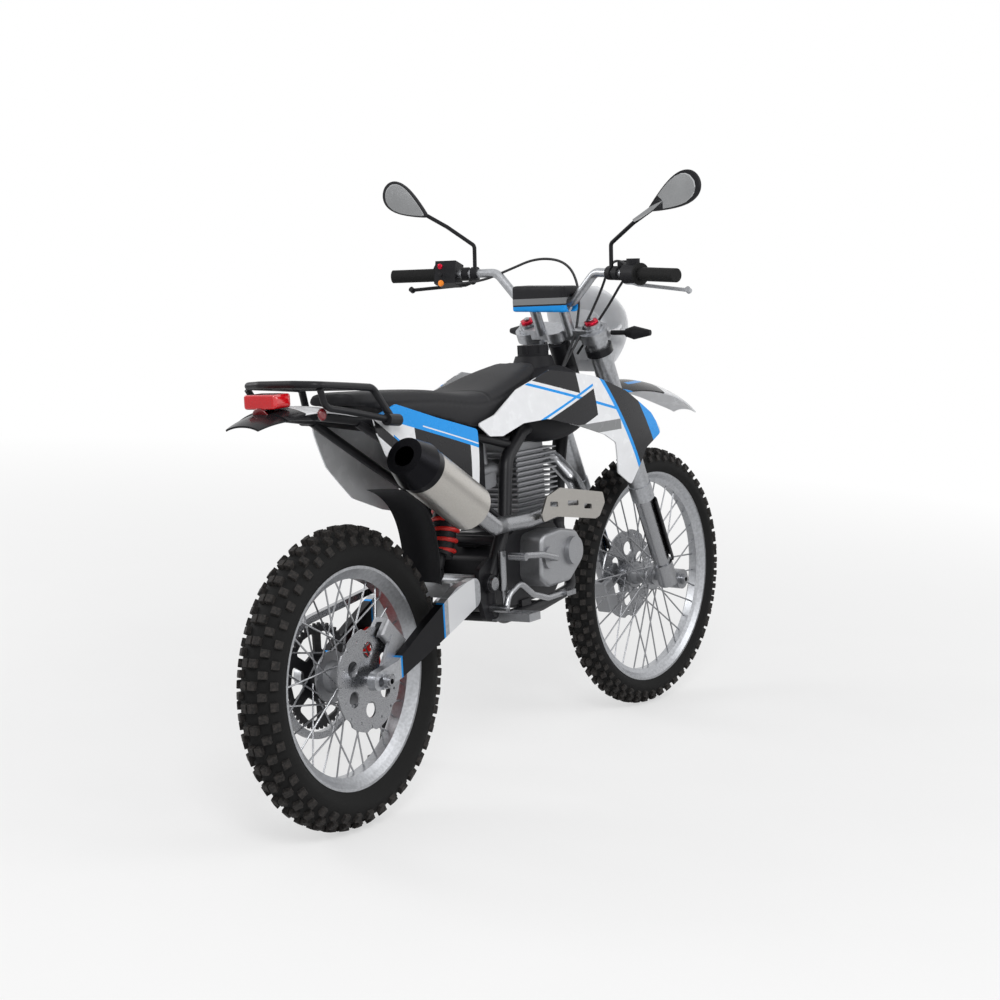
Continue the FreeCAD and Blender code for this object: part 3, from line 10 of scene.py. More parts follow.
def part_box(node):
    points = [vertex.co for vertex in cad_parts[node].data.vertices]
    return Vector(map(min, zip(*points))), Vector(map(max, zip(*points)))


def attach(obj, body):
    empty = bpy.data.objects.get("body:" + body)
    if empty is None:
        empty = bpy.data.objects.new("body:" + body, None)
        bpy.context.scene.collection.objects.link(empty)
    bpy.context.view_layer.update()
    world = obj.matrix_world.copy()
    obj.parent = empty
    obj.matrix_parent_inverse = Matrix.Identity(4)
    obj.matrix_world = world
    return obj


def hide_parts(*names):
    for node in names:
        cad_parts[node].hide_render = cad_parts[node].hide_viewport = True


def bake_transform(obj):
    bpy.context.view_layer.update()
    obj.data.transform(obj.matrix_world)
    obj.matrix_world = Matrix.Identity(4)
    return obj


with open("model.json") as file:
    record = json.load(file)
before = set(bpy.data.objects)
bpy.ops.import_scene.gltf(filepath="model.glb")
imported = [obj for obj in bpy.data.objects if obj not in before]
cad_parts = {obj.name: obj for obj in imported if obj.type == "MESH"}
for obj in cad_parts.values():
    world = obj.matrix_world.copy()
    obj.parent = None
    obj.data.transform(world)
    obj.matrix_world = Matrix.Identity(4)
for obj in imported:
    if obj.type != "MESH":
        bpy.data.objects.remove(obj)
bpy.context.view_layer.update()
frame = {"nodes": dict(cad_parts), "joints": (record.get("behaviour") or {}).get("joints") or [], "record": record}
nodes = frame["nodes"]
joints = {j["name"]: j for j in frame["joints"]}
random.seed(4)

# the upright bike's own directions and its rear axle, from the joints
Y = Vector(joints["rear_wheel_spin"]["axis"]).normalized()
X = Vector((1, 0, 0))
Z = X.cross(Y).normalized()
REAR = Vector(joints["rear_wheel_spin"]["pos_m"])
FRONT = Vector(joints["front_wheel_spin"]["pos_m"])
FRONT_Y = Vector(joints["front_wheel_spin"]["axis"]).normalized()
AXLE_Z = 0.330
BIKE = Matrix((X, Y, Z)).transposed().to_4x4()
BIKE.translation = REAR - Z * AXLE_Z
INV = BIKE.inverted()


def at(x, y, z):
    """A point given in the bike's own frame, in metres."""
    return BIKE @ Vector((x, y, z))


def material(name, color, rough=0.5, metal=0.0, noise=60.0, vary=0.12, bump=0.05, coat=0.0,
             fleck=None, rings=None, gloss=0.5):
    """A noise-driven finish; rings stretches the grain, and fleck is the colour of its light spots."""
    m = bpy.data.materials.new(name)
    m.use_nodes = True
    nt = m.node_tree
    b = nt.nodes["Principled BSDF"]
    b.inputs["Metallic"].default_value = metal
    b.inputs["Coat Weight"].default_value = coat
    b.inputs["Specular IOR Level"].default_value = gloss
    co = nt.nodes.new("ShaderNodeTexCoord")
    n = nt.nodes.new("ShaderNodeTexNoise")
    n.inputs["Scale"].default_value = noise
    n.inputs["Detail"].default_value = 6
    if rings:
        mp = nt.nodes.new("ShaderNodeMapping")
        mp.inputs["Scale"].default_value = rings
        nt.links.new(co.outputs["Object"], mp.inputs["Vector"])
        nt.links.new(mp.outputs["Vector"], n.inputs["Vector"])
    else:
        nt.links.new(co.outputs["Object"], n.inputs["Vector"])
    ramp = nt.nodes.new("ShaderNodeValToRGB")
    low = [c * (1 - vary) for c in color]
    high = [min(1, c * (1 + vary)) for c in (fleck or color)]
    ramp.color_ramp.elements[0].position = 0.35
    ramp.color_ramp.elements[1].position = 0.65
    ramp.color_ramp.elements[0].color = (*low, 1)
    ramp.color_ramp.elements[1].color = (*high, 1)
    nt.links.new(n.outputs["Fac"], ramp.inputs["Fac"])
    nt.links.new(ramp.outputs["Color"], b.inputs["Base Color"])
    r = nt.nodes.new("ShaderNodeMapRange")
    r.inputs["To Min"].default_value = max(0.02, rough - 0.08)
    r.inputs["To Max"].default_value = min(1, rough + 0.08)
    nt.links.new(n.outputs["Fac"], r.inputs["Value"])
    nt.links.new(r.outputs["Result"], b.inputs["Roughness"])
    bp = nt.nodes.new("ShaderNodeBump")
    bp.inputs["Strength"].default_value = bump
    bp.inputs["Distance"].default_value = 0.001
    nt.links.new(n.outputs["Fac"], bp.inputs["Height"])
    nt.links.new(bp.outputs["Normal"], b.inputs["Normal"])
    return m


BLACK = (0.012, 0.012, 0.014)
WHITE = (0.78, 0.79, 0.81)
GREY = (0.22, 0.225, 0.23)
BLUE = (0.012, 0.30, 0.80)
mats = dict(
    black_metal=material("black_metal", BLACK, 0.38, 0.1, 220, bump=0.08, gloss=0.25),
    silver_metal=material("silver_metal", (0.42, 0.43, 0.45), 0.34, 0.9, 150, bump=0.04),
    steel=material("steel", (0.33, 0.335, 0.35), 0.28, 1.0, 300, rings=(1, 8, 1)),
    grey_metal=material("grey_metal", (0.33, 0.335, 0.35), 0.45, 0.85, 500, bump=0.25),
    black_plastic=material("black_plastic", BLACK, 0.5, 0, 700, bump=0.25, gloss=0.16),
    brushed=material("brushed", (0.5, 0.48, 0.45), 0.3, 1.0, 90, rings=(3, 1, 30), bump=0.1),
    seat_cover=material("seat_cover", (0.016, 0.016, 0.018), 0.55, 0, 900, bump=0.5, gloss=0.22),
    white_plastic=material("white_plastic", WHITE, 0.26, 0, 30, vary=0.03, coat=0.05, bump=0.02, gloss=0.2),
    red_lens=material("red_lens", (0.62, 0.004, 0.01), 0.12, 0, 400, coat=1),
    red_plastic=material("red_plastic", (0.65, 0.02, 0.015), 0.4, 0, 200),
    tyre=material("tyre", (0.010, 0.010, 0.010), 0.75, 0, 250, bump=0.3, gloss=0.15),
    pad_foam=material("pad_foam", BLACK, 0.5, 0, 500, bump=0.3, gloss=0.2),
    grip_rubber=material("grip_rubber", (0.012, 0.012, 0.012), 0.7, 0, 160, rings=(1, 1, 1), bump=0.9, gloss=0.15))
knob_mat = material("knob", (0.014, 0.014, 0.014), 0.7, 0, 180, fleck=(0.034, 0.030, 0.028), bump=0.4,
                    gloss=0.2)
glass = material("mirror_glass", (0.50, 0.51, 0.52), 0.12, 0.9, 10, vary=0.06, bump=0)
lens = material("lamp_glass", (0.7, 0.72, 0.75), 0.08, 0.3, 80, coat=1)
orange = material("amber", (0.9, 0.25, 0.01), 0.3, 0, 90)
dark_red = material("reflector", (0.16, 0.004, 0.008), 0.25, 0, 700, bump=0.4, coat=0.6)
anodised_red = material("anodised_red", (0.55, 0.004, 0.03), 0.25, 0.7, 200)
cable_skin = material("cable_skin", BLACK, 0.5, 0, 500, bump=0.2)


def blocks(mat_name, base, areas, outward=False):
    """A copy of a material with coloured areas: (colour, low, high) boxes in the bike's own frame."""
    m = mats[base].copy()
    m.name = mat_name
    nt = m.node_tree
    b = nt.nodes["Principled BSDF"]
    link = b.inputs["Base Color"].links[0]
    last = link.from_socket
    geo = nt.nodes.new("ShaderNodeTexCoord")
    coords = []
    for row in range(3):
        dot = nt.nodes.new("ShaderNodeVectorMath")
        dot.operation = "DOT_PRODUCT"
        dot.inputs[1].default_value = INV[row][:3]
        nt.links.new(geo.outputs["Object"], dot.inputs[0])
        add = nt.nodes.new("ShaderNodeMath")
        add.operation = "ADD"
        add.inputs[1].default_value = INV[row][3]
        nt.links.new(dot.outputs["Value"], add.inputs[0])
        coords.append(add)
    facing = None
    if outward:
        normal = nt.nodes.new("ShaderNodeNewGeometry")
        sideways = nt.nodes.new("ShaderNodeVectorMath")
        sideways.operation = "DOT_PRODUCT"
        sideways.inputs[1].default_value = Y
        nt.links.new(normal.outputs["Normal"], sideways.inputs[0])
        product = nt.nodes.new("ShaderNodeMath")
        product.operation = "MULTIPLY"
        nt.links.new(sideways.outputs["Value"], product.inputs[0])
        nt.links.new(coords[1].outputs[0], product.inputs[1])
        facing = nt.nodes.new("ShaderNodeMath")
        facing.operation = "GREATER_THAN"
        facing.inputs[1].default_value = 0
        nt.links.new(product.outputs[0], facing.inputs[0])
    for color, (a, c, low), (a2, c2, high) in areas:
        # a band between two lines z = a x + c
        masks = []
        for slope, start, sign in ((a, c, 1), (a2, c2, -1)):
            mul = nt.nodes.new("ShaderNodeMath")
            mul.operation = "MULTIPLY_ADD"
            mul.inputs[1].default_value = -slope
            nt.links.new(coords[0].outputs[0], mul.inputs[0])
            nt.links.new(coords[2].outputs[0], mul.inputs[2])
            cmp = nt.nodes.new("ShaderNodeMath")
            cmp.operation = "GREATER_THAN" if sign > 0 else "LESS_THAN"
            cmp.inputs[1].default_value = start
            nt.links.new(mul.outputs[0], cmp.inputs[0])
            masks.append(cmp)
        for value, kind in ((low, "GREATER_THAN"), (high, "LESS_THAN")):
            cmp = nt.nodes.new("ShaderNodeMath")
            cmp.operation = kind
            cmp.inputs[1].default_value = value
            nt.links.new(coords[0].outputs[0], cmp.inputs[0])
            masks.append(cmp)
        if facing:
            masks.append(facing)
        total = masks[0]
        for other in masks[1:]:
            mul = nt.nodes.new("ShaderNodeMath")
            mul.operation = "MULTIPLY"
            nt.links.new(total.outputs[0], mul.inputs[0])
            nt.links.new(other.outputs[0], mul.inputs[1])
            total = mul
        mix = nt.nodes.new("ShaderNodeMix")
        mix.data_type = "RGBA"
        mix.inputs["B"].default_value = (*color, 1)
        nt.links.new(total.outputs[0], mix.inputs["Factor"])
        nt.links.new(last, mix.inputs["A"])
        last = mix.outputs["Result"]
    nt.links.new(last, b.inputs["Base Color"])
    return m


def paint(node, mat):
    o = nodes[node]
    o.data.materials.clear()
    o.data.materials.append(mat)


slots = {s["node"]: s["material_slot"] for s in frame["record"]["subparts"]}
for name, o in nodes.items():
    paint(name, mats[slots[name]])
    for p in o.data.polygons:
        p.use_smooth = True
    mod = o.modifiers.new("edges", "EDGE_SPLIT")
    mod.split_angle = math.radians(32)

paint("shrouds", blocks("shroud_stripes", "white_plastic", [
    (BLACK, (-0.25, 1.075, 0.40), (-0.25, 1.30, 0.80)), (BLUE, (-0.25, 1.060, 0.50), (-0.25, 1.067, 0.97)),
    (BLUE, (0.30, 0.630, 0.56), (0.30, 0.636, 0.86)), (BLACK, (0.30, 0.560, 0.40), (0.30, 0.624, 0.86)),
    (GREY, (0.0, 0.775, 0.70), (0.0, 0.800, 0.96)), (BLACK, (-1.6, 2.36, 0.8), (-1.6, 2.62, 1.2)),
    (BLUE, (-1.6, 2.335, 0.8), (-1.6, 2.36, 1.2)), (BLUE, (-1.6, 2.535, 0.8), (-1.6, 2.62, 1.2))], outward=True))
paint("side_panels", blocks("side_stripes", "white_plastic", [
    (BLACK, (-0.62, 0.930, 0.17), (-0.29, 0.925, 0.365)), (BLUE, (-0.29, 0.900, 0.04), (-0.29, 0.945, 0.40)),
    (BLACK, (-0.78, 0.885, 0.04), (-0.78, 0.915, 0.34)), (BLUE, (-0.78, 0.915, 0.10), (-0.78, 0.921, 0.33)),
    (WHITE, (-0.29, 0.908, 0.20), (-0.29, 0.911, 0.40))], outward=True))
paint("swingarm", blocks("arm_stickers", "silver_metal", [
    (BLUE, (0.3, 0.285, 0.06), (0.3, 0.395, 0.235)), (BLACK, (0.3, 0.292, 0.066), (0.3, 0.388, 0.229)),
    (WHITE, (0.3, 0.29, 0.25), (0.3, 0.39, 0.36))]))
paint("rear_fender", blocks("tail_colours", "white_plastic", [
    (BLACK, (0, 0, -0.4), (0, 2, -0.165)), (BLUE, (-0.02, 0.914, -0.03), (-0.02, 0.919, 0.06))]))
paint("muffler", blocks("can_caps", "brushed", [(BLACK, (1.45, 0.655, -0.2), (1.45, 1.4, 0.3))]))
paint("front_fender", blocks("fender_colours", "white_plastic", [
    (BLACK, (-0.35, 1.265, 0.9), (-0.35, 1.50, 1.34)), (BLUE, (-0.35, 1.257, 0.9), (-0.35, 1.265, 1.34)),
    (BLUE, (0.0, 0.868, 1.20), (0.0, 0.873, 1.50))]))
paint("headlight", blocks("mask_colours", "white_plastic", [(BLACK, (0, 0, 0.8), (0, 2, 1.01))]))
paint("fork_guards", blocks("guard_stripe", "black_plastic", [(BLUE, (-2.05, 3.068, 1.0), (-2.05, 3.080, 1.4))]))


SILVER = (0.42, 0.43, 0.45)
paint("hand_controls", blocks("lever_silver", "black_plastic", [(SILVER, (0, 0, 0.8), (0, 1.131, 0.97))]))
paint("cylinder", mats["grey_metal"])


def mesh_piece(name, verts, faces, mat, body, bevel=0.0):
    me = bpy.data.meshes.new(name)
    me.from_pydata([tuple(v) for v in verts], [], faces)
    me.materials.append(mat)
    o = bpy.data.objects.new(name, me)
    bpy.context.scene.collection.objects.link(o)
    if bevel:
        m = o.modifiers.new("bevel", "BEVEL")
        m.width = bevel
        m.segments = 2
    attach(o, body)
    return o


def wheel_tyre(name, centre, axis, r, half, bead_r, bead_half, count, rows, body, node):
    """A carcass with rows of bevelled knobs, inside the CAD tyre."""
    depth = 0.014
    up = axis.cross(Vector((1, 0, 0))).normalized()
    fwd = up.cross(axis).normalized()

    def place(radius, y, angle):
        return centre + axis * y + (fwd * math.cos(angle) + up * math.sin(angle)) * radius
    cr, ch = r - depth, half - 0.006
    mid = cr - ch * 0.95
    prof = [(bead_r, bead_half), (bead_r + 0.012, bead_half + 0.007)]
    for i in range(13):
        t = math.radians(-8 + 196 * i / 12)
        prof.append((mid + ch * 0.95 * math.sin(t), ch * math.cos(t)))
    prof += [(bead_r + 0.012, -bead_half - 0.007), (bead_r, -bead_half)]
    seg, n = 96, len(prof)
    verts = [place(pr, py, 2 * math.pi * s / seg) for s in range(seg) for pr, py in prof]
    faces = [(s * n + k, s * n + (k + 1) % n, ((s + 1) % seg) * n + (k + 1) % n, ((s + 1) % seg) * n + k)
             for s in range(seg) for k in range(n)]
    tyre = mesh_piece(name + "_carcass", verts, faces, mats["tyre"], body)
    for p in tyre.data.polygons:
        p.use_smooth = True
    kv, kf = [], []
    for i in range(count):
        for tilt, width, length, offset in rows:
            a0 = 2 * math.pi * (i + offset) / count
            step = 2 * math.pi / count * length
            base = len(kv)
            for lift in (-0.003, depth - 0.001):
                taper = 1.0 if lift < 0 else 0.88
                for da, dw in ((-0.5, -0.5), (0.5, -0.5), (0.5, 0.5), (-0.5, 0.5)):
                    t = math.radians(tilt) + dw * width / ch * taper
                    rad = mid + (ch * 0.95 + lift) * math.cos(t)
                    y = (ch + min(lift, 0.006)) * math.sin(t)
                    kv.append(place(rad, y, a0 + da * step * taper))
            kf += [(base, base + 1, base + 2, base + 3), (base + 4, base + 7, base + 6, base + 5)]
            kf += [(base + k, base + 4 + k, base + 4 + (k + 1) % 4, base + (k + 1) % 4)
                   for k in range(4)]
    knobs = mesh_piece(name + "_knobs", kv, kf, knob_mat, body, 0.0012)
    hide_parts(node)
    return tyre, knobs


wheel_tyre("rear", REAR, Y, 0.330, 0.056, 0.231, 0.026, 44,
           [(-10, 0.016, 0.42, 0), (10, 0.016, 0.42, 0), (-34, 0.018, 0.4, 0.5), (34, 0.018, 0.4, 0.5),
            (-60, 0.018, 0.45, 0), (60, 0.018, 0.45, 0)], "rear_wheel", "rear_tyre")
wheel_tyre("front", FRONT, FRONT_Y, 0.345, 0.043, 0.2695, 0.019, 54,
           [(-12, 0.012, 0.45, 0), (12, 0.012, 0.45, 0), (-38, 0.013, 0.42, 0.5),
            (38, 0.013, 0.42, 0.5), (-62, 0.013, 0.4, 0), (62, 0.013, 0.4, 0)],
           "front_wheel", "front_tyre")

def tube_piece(name, points, radius, mat, body):
    """A smooth round tube along a short list of points, as a mesh."""
    curve = bpy.data.curves.new(name, "CURVE")
    curve.dimensions = "3D"
    curve.bevel_depth = radius
    curve.bevel_resolution = 3
    curve.use_fill_caps = True
    spline = curve.splines.new("NURBS")
    spline.points.add(len(points) - 1)
    for point, place in zip(spline.points, points):
        point.co = (*place, 1)
    spline.order_u = 3
    spline.use_endpoint_u = True
    holder = bpy.data.objects.new(name + "_line", curve)
    bpy.context.scene.collection.objects.link(holder)
    bpy.context.view_layer.update()
    me = bpy.data.meshes.new_from_object(holder)
    bpy.data.objects.remove(holder)
    me.name = name
    me.materials.clear()
    me.materials.append(mat)
    for p in me.polygons:
        p.use_smooth = True
    o = bpy.data.objects.new(name, me)
    bpy.context.scene.collection.objects.link(o)
    if body:
        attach(o, body)
    return o


def disc_piece(name, centre, axis, radius, thick, mat, body, sides=28, dome=0.25):
    """A round button or lens with a domed face."""
    axis = axis.normalized()
    u = axis.orthogonal().normalized()
    v = axis.cross(u)
    rings = [(1.0, 0.0), (1.0, 1 - dome), (0.93, 1 - dome / 3), (0.6, 1.0)]
    verts = [centre + (u * math.cos(2 * math.pi * k / sides) + v * math.sin(2 * math.pi * k / sides))
             * radius * share + axis * thick * up for share, up in rings for k in range(sides)]
    faces = [(r * sides + k, r * sides + (k + 1) % sides, (r + 1) * sides + (k + 1) % sides, (r + 1) * sides + k)
             for r in range(len(rings) - 1) for k in range(sides)]
    faces.append(tuple(range((len(rings) - 1) * sides, len(rings) * sides)))
    faces.append(tuple(reversed(range(sides))))
    o = mesh_piece(name, verts, faces, mat, body)
    for p in o.data.polygons:
        p.use_smooth = len(p.vertices) == 4
    return o


def mirror_glass(side):
    """The glass follows the flat rear face of the mirror's own shell, a little inside its rim."""
    me = nodes["mirrors"].data
    left = side == "left"
    back = -X
    picked = [p for p in me.polygons
              if p.normal.dot(back) > 0.85 and (INV @ p.center).y * (1 if left else -1) > 0.315]
    points = {i for p in picked for i in p.vertices}
    if len(points) < 5:
        return
    middle = sum((me.vertices[i].co for i in points), Vector()) / len(points)
    normal = sum((p.normal * p.area for p in picked), Vector()).normalized()
    across = normal.orthogonal().normalized()
    up = normal.cross(across)
    rim = {}
    steps = 48
    for i in points:
        d = me.vertices[i].co - middle
        angle = round(math.atan2(d.dot(up), d.dot(across)) / (2 * math.pi) * steps) % steps
        if angle not in rim or d.length > rim[angle].length:
            rim[angle] = d
    crown = max((me.vertices[i].co - middle).dot(normal) for i in points) + 0.0006
    n = len(rim)
    verts = [middle + rim[k] * 0.93 - normal * 0.001 for k in sorted(rim)]
    for k in sorted(rim):
        flat = rim[k] - normal * rim[k].dot(normal)
        verts.append(middle + flat * 0.88 + normal * crown)
    verts.append(middle + normal * crown)
    faces = [(k, (k + 1) % n, n + (k + 1) % n, n + k) for k in range(n)]
    faces += [(n + k, n + (k + 1) % n, 2 * n) for k in range(n)]
    mesh_piece("mirror_glass_" + side, verts, faces, glass, "steering")


mirror_glass("left")
mirror_glass("right")

# fork caps stand on the tops of the two fork tubes
STEER = Vector(joints["steering"]["axis"]).normalized()
if STEER.z < 0:
    STEER = -STEER
tops = {}
for v in nodes["fork_outer_tubes"].data.vertices:
    tops.setdefault((INV @ v.co).y > 0, []).append(v.co.copy())
for left, points in tops.items():
    high = max(p.dot(STEER) for p in points)
    ring = [p for p in points if p.dot(STEER) > high - 0.002]
    middle = sum(ring, Vector()) / len(ring)
    label = "left" if left else "right"
    disc_piece("fork_cap_" + label, middle, STEER, 0.0185, 0.007, anodised_red, "steering", 6, 0.2)
    disc_piece("fork_adjuster_" + label, middle + STEER * 0.006, STEER, 0.007, 0.006, mats["steel"], "steering")


def rounded_copy(node, name, mat, voxel, smooth):
    """A rounded piece made from the space its CAD solid holds."""
    me = nodes[node].data.copy()
    me.name = name
    me.materials.clear()
    me.materials.append(mat)
    o = bpy.data.objects.new(name, me)
    bpy.context.scene.collection.objects.link(o)
    bpy.context.view_layer.objects.active = o
    remesh = o.modifiers.new("voxels", "REMESH")
    remesh.mode = "VOXEL"
    remesh.voxel_size = voxel
    remesh.use_smooth_shade = True
    relax = o.modifiers.new("relax", "SMOOTH")
    relax.factor = 0.5
    relax.iterations = smooth
    bpy.context.view_layer.update()
    final = bpy.data.meshes.new_from_object(o.evaluated_get(bpy.context.evaluated_depsgraph_get()))
    o.modifiers.clear()
    o.data = final
    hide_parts(node)
    return o


SEAT_SEAM = (0.030, 0.0022)


def seat_seams(o):
    """A sunken seam runs round the cover below the top edge, and a cross seam divides the rider's part."""
    drop, depth = SEAT_SEAM
    tops_at = {}
    for v in o.data.vertices:
        p = INV @ v.co
        key = round(p.x / 0.02)
        tops_at[key] = max(tops_at.get(key, 0), p.z)
    for v in o.data.vertices:
        p = INV @ v.co
        gap = tops_at[round(p.x / 0.02)] - drop - p.z
        side = math.exp(-(gap / 0.0035) ** 2) if abs(p.y) > 0.05 else 0
        cross = math.exp(-((p.x - 0.46 - abs(p.y) * 0.25) / 0.0035) ** 2) if gap < 0 else 0
        v.co -= v.normal * depth * max(side, cross)


seat = rounded_copy("seat", "seat_cover", mats["seat_cover"], 0.0045, 8)
seat_seams(seat)
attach(seat, "frame")
pad_skin = blocks("pad_stripe", "pad_foam", [
    (BLUE, (0, 1.06, 0.5), (0, 1.085, 1.3)), (GREY, (0, 1.089, 0.5), (0, 1.104, 1.3))])
pad = rounded_copy("bar_pad", "bar_pad_cover", pad_skin, 0.003, 24)
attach(pad, "steering")


def spring(name, node, turns, radius, wire, mat, body):
    """The shock's coil, about the long middle line of its CAD body."""
    points = [INV @ v.co for v in nodes[node].data.vertices]
    low = min(points, key=lambda p: p.z)
    high = max(points, key=lambda p: p.z)
    ends = [Vector((low.x, 0, low.z)), Vector((high.x, 0, high.z))]
    start, stop = ends[0].lerp(ends[1], 0.2), ends[0].lerp(ends[1], 0.78)
    along = (stop - start).normalized()
    u = Vector((0, 1, 0))
    v = along.cross(u)
    steps = turns * 12
    route = []
    for k in range(steps + 1):
        a = 2 * math.pi * k / 12
        p = start.lerp(stop, k / steps) + (u * math.cos(a) + v * math.sin(a)) * radius
        route.append(BIKE @ p)
    return tube_piece(name, route, wire, mat, body)


spring("shock_spring", "rear_shock", 7, 0.032, 0.0055, mats["red_plastic"], "frame")

# switch pod buttons, lamp faces and reflectors, placed on their CAD pieces
RIDER = (-X).normalized()
lamp_lens = rounded_copy("tail_lamp", "tail_lamp_lens", mats["red_lens"], 0.0015, 16)
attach(lamp_lens, "frame")


def on_face(node, inside, direction, near_mid=0.6):
    """The farthest point along direction of the vertices that inside accepts, and their middle in the other ways."""
    points = [v.co for v in nodes[node].data.vertices if inside(INV @ v.co)]
    middle = sum(points, Vector()) / len(points)
    reach = max((p - middle).dot(direction) for p in points)
    return middle + direction * reach * near_mid


pod = on_face("hand_controls", lambda p: p.y > 0.241 and p.y < 0.307 and p.x < 0.94 and p.z > 1.139, RIDER, 1.0)
for label, mat, lift, wide in (("kill", anodised_red, 0.022, 0.007), ("horn", orange, -0.02, 0.008),
                               ("lamp_switch", mats["black_plastic"], 0.002, 0.006)):
    disc_piece("button_" + label, pod + Z * lift, RIDER, wide, 0.004, mat, "steering", 20)
AHEAD = FRONT_Y.cross(Z).normalized()
lamp_front = on_face("headlight", lambda p: p.z < 1.06, AHEAD, 1.0)
disc_piece("headlight_lens", lamp_front - AHEAD * 0.004, AHEAD, 0.042, 0.006, lens, "steering", 36)
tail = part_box("tail_lamp")
tail_mid = (Vector(tail[0]) + Vector(tail[1])) / 2
tail_local = INV @ tail_mid
disc_piece("rear_reflector", at(tail_local.x - 0.021, 0, 0.909), RIDER - Z * 0.4, 0.02, 0.004, dark_red, "frame")
for side in (-1, 1):
    disc_piece("side_reflector_right" if side < 0 else "side_reflector_left", at(-0.12, side * 0.0745, 0.905),
               Y * side, 0.013, 0.0045, dark_red, "frame")

# the throttle and clutch cables and the brake hose run from the bars; only the brake hose turns with the steering
CABLES = (
    ("clutch_cable", [(0.865, 0.235, 1.150), (0.900, 0.190, 1.150), (0.925, 0.120, 1.175), (0.945, 0.040, 1.205),
                      (0.975, -0.030, 1.190), (0.985, -0.055, 1.120), (0.955, -0.058, 1.020), (0.900, -0.058, 0.960),
                      (0.840, -0.060, 0.900)]),
    ("throttle_cable", [(0.855, -0.262, 1.175), (0.880, -0.225, 1.190), (0.915, -0.180, 1.175),
                        (0.955, -0.130, 1.110), (0.950, -0.065, 1.000), (0.880, -0.055, 0.930),
                        (0.820, -0.056, 0.880)]),
    ("brake_hose", [(0.885, -0.262, 1.160), (0.925, -0.215, 1.145), (0.960, -0.150, 1.080),
                    (0.985, -0.085, 1.020), (1.000, -0.030, 0.960)]))
for label, route in CABLES:
    piece = tube_piece(label, [at(*p) for p in route], 0.0032, cable_skin, None)
    if label == "brake_hose":
        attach(piece, "steering")
    else:
        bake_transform(piece)


# camera, floor and light
BACK = (-3.438, -2.628, 1.179)
yaw, pitch, roll = 0.57114, -0.11187, -0.05267
look = Vector((math.cos(pitch) * math.cos(yaw), math.cos(pitch) * math.sin(yaw), math.sin(pitch)))
side = Vector((math.sin(yaw), -math.cos(yaw), 0))
top = side.cross(look)
side, top = (side * math.cos(roll) + top * math.sin(roll), top * math.cos(roll) - side * math.sin(roll))
cam = bpy.data.objects.new("camera", bpy.data.cameras.new("camera"))
cam.data.lens = 73.7
cam.data.sensor_width = 36
cam.matrix_world = BIKE @ Matrix.Translation(BACK) @ Matrix((side, top, -look)).transposed().to_4x4()
scene = bpy.context.scene
scene.collection.objects.link(cam)
scene.camera = cam
scene.render.resolution_x = scene.render.resolution_y = 1000
scene.view_settings.view_transform = "Standard"
world = bpy.data.worlds.new("world")
scene.world = world
world.use_nodes = True
background = world.node_tree.nodes["Background"]
background.inputs["Color"].default_value = (1, 1, 1, 1)
ROOM_LIGHT = 0.5
rays = world.node_tree.nodes.new("ShaderNodeLightPath")
seen = world.node_tree.nodes.new("ShaderNodeMath")
seen.operation = "MAXIMUM"
world.node_tree.links.new(rays.outputs["Is Camera Ray"], seen.inputs[0])
world.node_tree.links.new(rays.outputs["Is Transmission Ray"], seen.inputs[1])
seen_shiny = world.node_tree.nodes.new("ShaderNodeMath")
seen_shiny.operation = "MAXIMUM"
world.node_tree.links.new(seen.outputs[0], seen_shiny.inputs[0])
world.node_tree.links.new(rays.outputs["Is Glossy Ray"], seen_shiny.inputs[1])
level = world.node_tree.nodes.new("ShaderNodeMapRange")
level.inputs["To Min"].default_value = ROOM_LIGHT
level.inputs["To Max"].default_value = 1.0
world.node_tree.links.new(seen_shiny.outputs[0], level.inputs["Value"])
world.node_tree.links.new(level.outputs["Result"], background.inputs["Strength"])

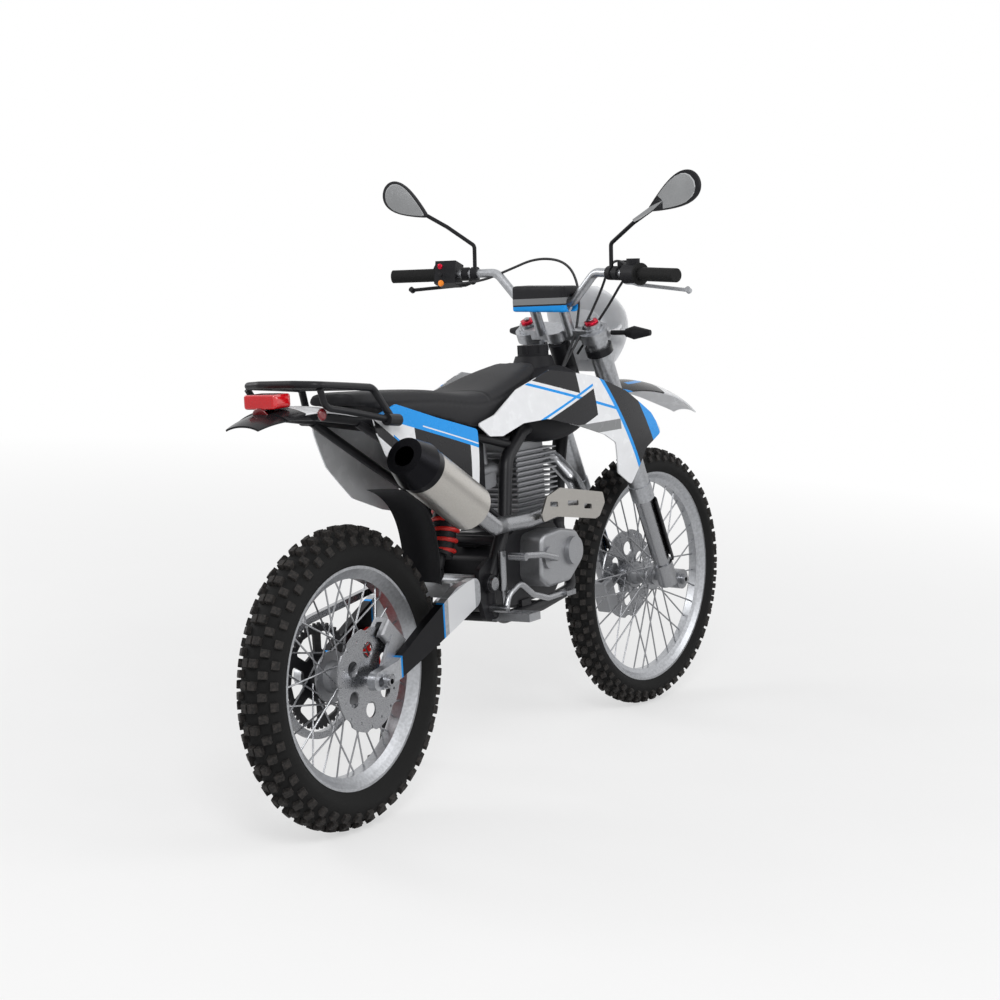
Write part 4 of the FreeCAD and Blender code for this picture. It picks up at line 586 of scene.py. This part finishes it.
floor_mesh = bpy.data.meshes.new("floor")
reach = 80
floor_mesh.from_pydata([(-reach, -reach, 0), (reach, -reach, 0), (reach, reach, 0), (-reach, reach, 0)], [],
                       [(0, 1, 2, 3)])
floor = bpy.data.objects.new("floor", floor_mesh)
scene.collection.objects.link(floor)
floor_mesh.materials.append(material("floor_paint", (0.83, 0.83, 0.83), 0.9, 0, 3, vary=0.01, bump=0))
paint_nodes = floor_mesh.materials[0].node_tree
shade = paint_nodes.nodes["Principled BSDF"]
spot = paint_nodes.nodes.new("ShaderNodeTexCoord")
away = paint_nodes.nodes.new("ShaderNodeVectorMath")
away.operation = "LENGTH"
paint_nodes.links.new(spot.outputs["Object"], away.inputs[0])
fade = paint_nodes.nodes.new("ShaderNodeMapRange")
fade.inputs["From Min"].default_value = 1.2
fade.inputs["From Max"].default_value = 4.5
fade.inputs["To Min"].default_value = 0.55
fade.inputs["To Max"].default_value = 1.0
paint_nodes.links.new(away.outputs["Value"], fade.inputs["Value"])
camera_only = paint_nodes.nodes.new("ShaderNodeLightPath")
share = paint_nodes.nodes.new("ShaderNodeMath")
share.operation = "MULTIPLY"
paint_nodes.links.new(fade.outputs["Result"], share.inputs[0])
paint_nodes.links.new(camera_only.outputs["Is Camera Ray"], share.inputs[1])
white = paint_nodes.nodes.new("ShaderNodeEmission")
blend_in = paint_nodes.nodes.new("ShaderNodeMixShader")
paint_nodes.links.new(share.outputs[0], blend_in.inputs["Fac"])
paint_nodes.links.new(shade.outputs["BSDF"], blend_in.inputs[1])
paint_nodes.links.new(white.outputs["Emission"], blend_in.inputs[2])
paint_nodes.links.new(blend_in.outputs["Shader"], paint_nodes.nodes["Material Output"].inputs["Surface"])
for name, place, power, size in (("key", (-2.5, -2.5, 3.2), 75, 1.5), ("fill", (1.5, -3, 2), 30, 2),
                                 ("rim", (-1, 3, 2.5), 40, 1.5)):
    light = bpy.data.objects.new(name, bpy.data.lights.new(name, "AREA"))
    light.data.energy = power
    light.data.size = size
    light.location = at(*place)
    light.rotation_euler = (at(0.6, 0, 0.6) - light.location).to_track_quat("-Z", "Y").to_euler()
    scene.collection.objects.link(light)
